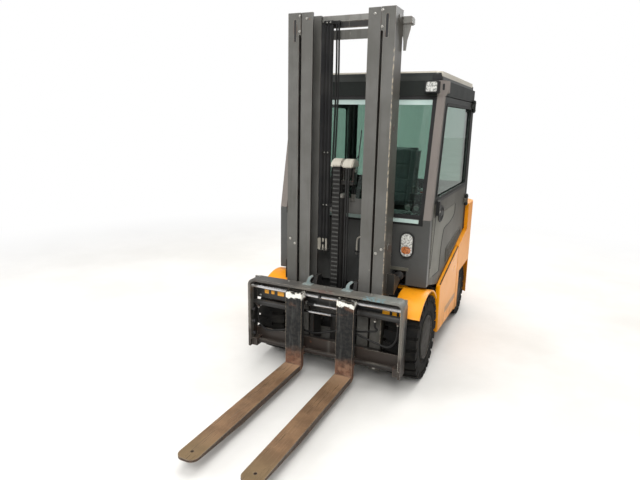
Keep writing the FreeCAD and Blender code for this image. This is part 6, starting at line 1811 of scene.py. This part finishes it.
    def wheel(self) -> None:
        """The steering wheel's spokes, hub, knob and column trim."""
        centre, lean = Vector((0.0, 0.235, 1.167)), math.radians(30)
        up = Vector((0, -math.sin(lean), math.cos(lean)))
        ahead = up.cross(ACROSS)
        wheel = Shape("steering_trim", "chassis", Slot.PLASTIC, BLACK, GREY_TRIM, ZINC)
        boss = [(0.050, 0), (0.056, 0.006), (0.056, 0.020), (0.046, 0.030), (0.020, 0.034), (0, 0.034)]
        wheel.turned(centre - up * 0.010, up, boss, 32)
        spoke = [(-0.017, 0.045), (0.017, 0.045), (0.012, 0.170), (-0.012, 0.170)]
        for turn in (math.radians(angle) for angle in (90, 210, 330)):
            way = ACROSS * math.cos(turn) + ahead * math.sin(turn)
            wheel.plate(spoke, centre + up * 0.004, up.cross(way), way, 0.010, 0.003)
        wheel.use(1).button(centre + up * 0.0235, up, 0.022, 0.002, 0.018, 0.003, 24)
        spot = centre + ACROSS * 0.120 - ahead * 0.125 + up * 0.012
        wheel.use(2).rod(spot, spot + up * 0.028, 0.006, 12)
        knob = [(0.012, 0), (0.021, 0.008), (0.023, 0.020), (0.019, 0.032), (0.010, 0.038), (0, 0.039)]
        wheel.use(0).turned(spot + up * 0.024, up, knob, 20)
        wheel.done()

    def levers(self) -> None:
        """The armrest's small levers and buttons, and its pad."""
        arm = Shape("armrest_controls", "chassis", Slot.PLASTIC, BLACK, GREY_TRIM, RED, ZINC)
        tip = [(0.006, 0), (0.0085, 0.006), (0.0075, 0.020), (0, 0.024)]
        for i in range(4):
            x = 0.262 + 0.018 * i
            arm.use(3).rod((x, 0.585, 1.190), (x, 0.579, 1.226), 0.0032, 10)
            arm.use((i + 1) % 2).turned((x, 0.579, 1.222), Vector((0, -0.16, 1)), tip, 14)
        stop = [(0.011, 0), (0.011, 0.004), (0.0125, 0.005), (0.0125, 0.011), (0, 0.013)]
        arm.use(2).turned((0.315, 0.635, 1.1895), UP, stop, 20)
        arm.use(1).block((0.262, 0.625, 1.1895), (0.292, 0.655, 1.1925), 0.001)
        arm.use(0).plate(rounded(0.066, 0.170, 0.018), (0.290, 0.760, 1.1895), ACROSS, ALONG, 0.012, 0.005)
        arm.done()

    def dash(self) -> None:
        """The dashboard's screen, keys and switches, and two round dials on their foot at the left."""
        dash = Shape("dash_controls", "chassis", Slot.PLASTIC, SCREEN, BLACK, GREY_TRIM, ZINC, RED)
        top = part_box("dashboard")[1].z
        screen, at = rounded(0.104, 0.066, 0.006), (0, 0.090, top)
        dash.plate(screen, at, ACROSS, ALONG, 0.0022, 0.0006)
        dash.use(1).ring(screen, 0.008, at, ACROSS, ALONG, 0.005, 0.0015)
        for i in range(5):
            dash.use(2).block((-0.052 + 0.022 * i, 0.038, top), (-0.038 + 0.022 * i, 0.050, top + 0.004), 0.001)
        dash.use(3).button((0.052, 0.150, top), UP, 0.012, 0.004, 0.009, 0.006, 20)
        dash.use(4).turned((-0.050, 0.152, top), UP, [(0.011, 0), (0.015, 0.008), (0.015, 0.014), (0, 0.016)], 20)
        bezel = [(0.024, 0), (0.024, 0.016), (0.020, 0.018), (0.019, 0.015), (0, 0.015)]
        for x in (0.455, 0.395):
            dash.use(1).turned((x, -0.030, 1.176), -ALONG, bezel, 28)
            dash.block((x - 0.011, -0.034, 1.122), (x + 0.011, -0.012, 1.136))
            dash.use(2).disc((x, -0.0452, 1.176), -ALONG, 0.018, 0.0008, 28)
        dash.use(1).block((0.350, -0.040, 1.1055), (0.500, 0.020, 1.1260), 0.005)
        dash.done()

    def floor(self) -> None:
        """The mat and the two pedals with their ribs."""
        floor = Shape("mat_and_pedals", "chassis", Slot.PLASTIC, MAT, BLACK, ZINC)
        floor.plate(rounded(0.90, 0.300, 0.02), (0, 0.170, 0.6302), ACROSS, ALONG, 0.006, 0.002)
        way = Vector((0, 0.45, 0.89)).normalized()
        for x, wide, tall in ((-0.02, 0.070, 0.060), (-0.150, 0.050, 0.110)):
            at = Vector((x, 0.080, 0.720))
            floor.use(1).plate(rounded(wide, tall, 0.010), at, ACROSS, way, -0.012, 0.003)
            for i in range(4):
                rib = rounded(wide * 0.8, 0.005, 0.002)
                floor.use(0).plate(rib, at + way * (tall * (i - 1.5) / 5), ACROSS, way, 0.003, 0)
            floor.use(2).rod((x, 0.092, 0.712), (x, 0.030, 0.640), 0.007, 10)
        floor.done()


class Body:
    """The side panels' seams, the counterweight's eyes, the tow pin's ring and the fenders' bolts."""

    def build(self) -> None:
        """Makes the body's small parts."""
        self.sides()
        self.rear()
        self.under()

    def sides(self) -> None:
        """The side panels' sloping seams."""
        sides = Shape("body_side_trim", "chassis", Slot.CAB, GASKET, ZINC)
        seam = [(0.5900, y, 0.5645 + 0.2374 * (y - 0.262)) for y in (0.275, 0.45, 0.65, 0.80, 0.918)]
        sides.tube(seam, 0.0045, 8, 4)
        sides.mirror().done()

    def rear(self) -> None:
        """The counterweight's lifting eyes, and the tow pin's head and ring."""
        rear = Shape("rear_trim", "chassis", Slot.CAST, CHASSIS_BLACK, BLACK, ZINC)
        eye = [(0.030, 0), (0.030, 0.003), (0.022, 0.004), (0.022, 0.001), (0, 0.001)]
        for x in (-0.420, 0.420):
            rear.use(2).turned((x, 1.470, 1.0350), UP, eye, 28)
        rear.button((0, 1.614, 0.503), UP, 0.010, 0.014, 0.007, 0.018, 16)
        turns = [math.tau * i / 16 for i in range(17)]
        rear.tube([(0.024 * math.cos(t), 1.614, 0.534 + 0.024 * math.sin(t)) for t in turns], 0.0036, 8, 2)
        rear.done()

    def under(self) -> None:
        """The front fenders' bolts."""
        under = Shape("fender_bolts", "chassis", Slot.CAB, ZINC, BLACK)
        for y in (-0.010, 0.120):
            under.bolt((0.430, y, 0.6195), UP, 0.007)
        under.mirror().done()


def main() -> None:
    """Builds every sub-assembly in order."""
    assemblies = [Stage(), FrameDress()]
    for side in ("left", "right"):
        assemblies.append(Wheel("front", side, 23, 0.014, 8, 0.098, 0.052))
        assemblies.append(Wheel("rear", side, 20, 0.012, 6, 0.074, 0.040))
        assemblies.append(Door(side))
    assemblies += [Reeving(), Mast(), Positioner(), Cab(), Interior(), Body()]
    for assembly in assemblies:
        log.info("building %s", type(assembly).__name__)
        assembly.build()


if __name__ == "__main__":
    logging.basicConfig(level=logging.INFO, format="%(message)s")
    main()
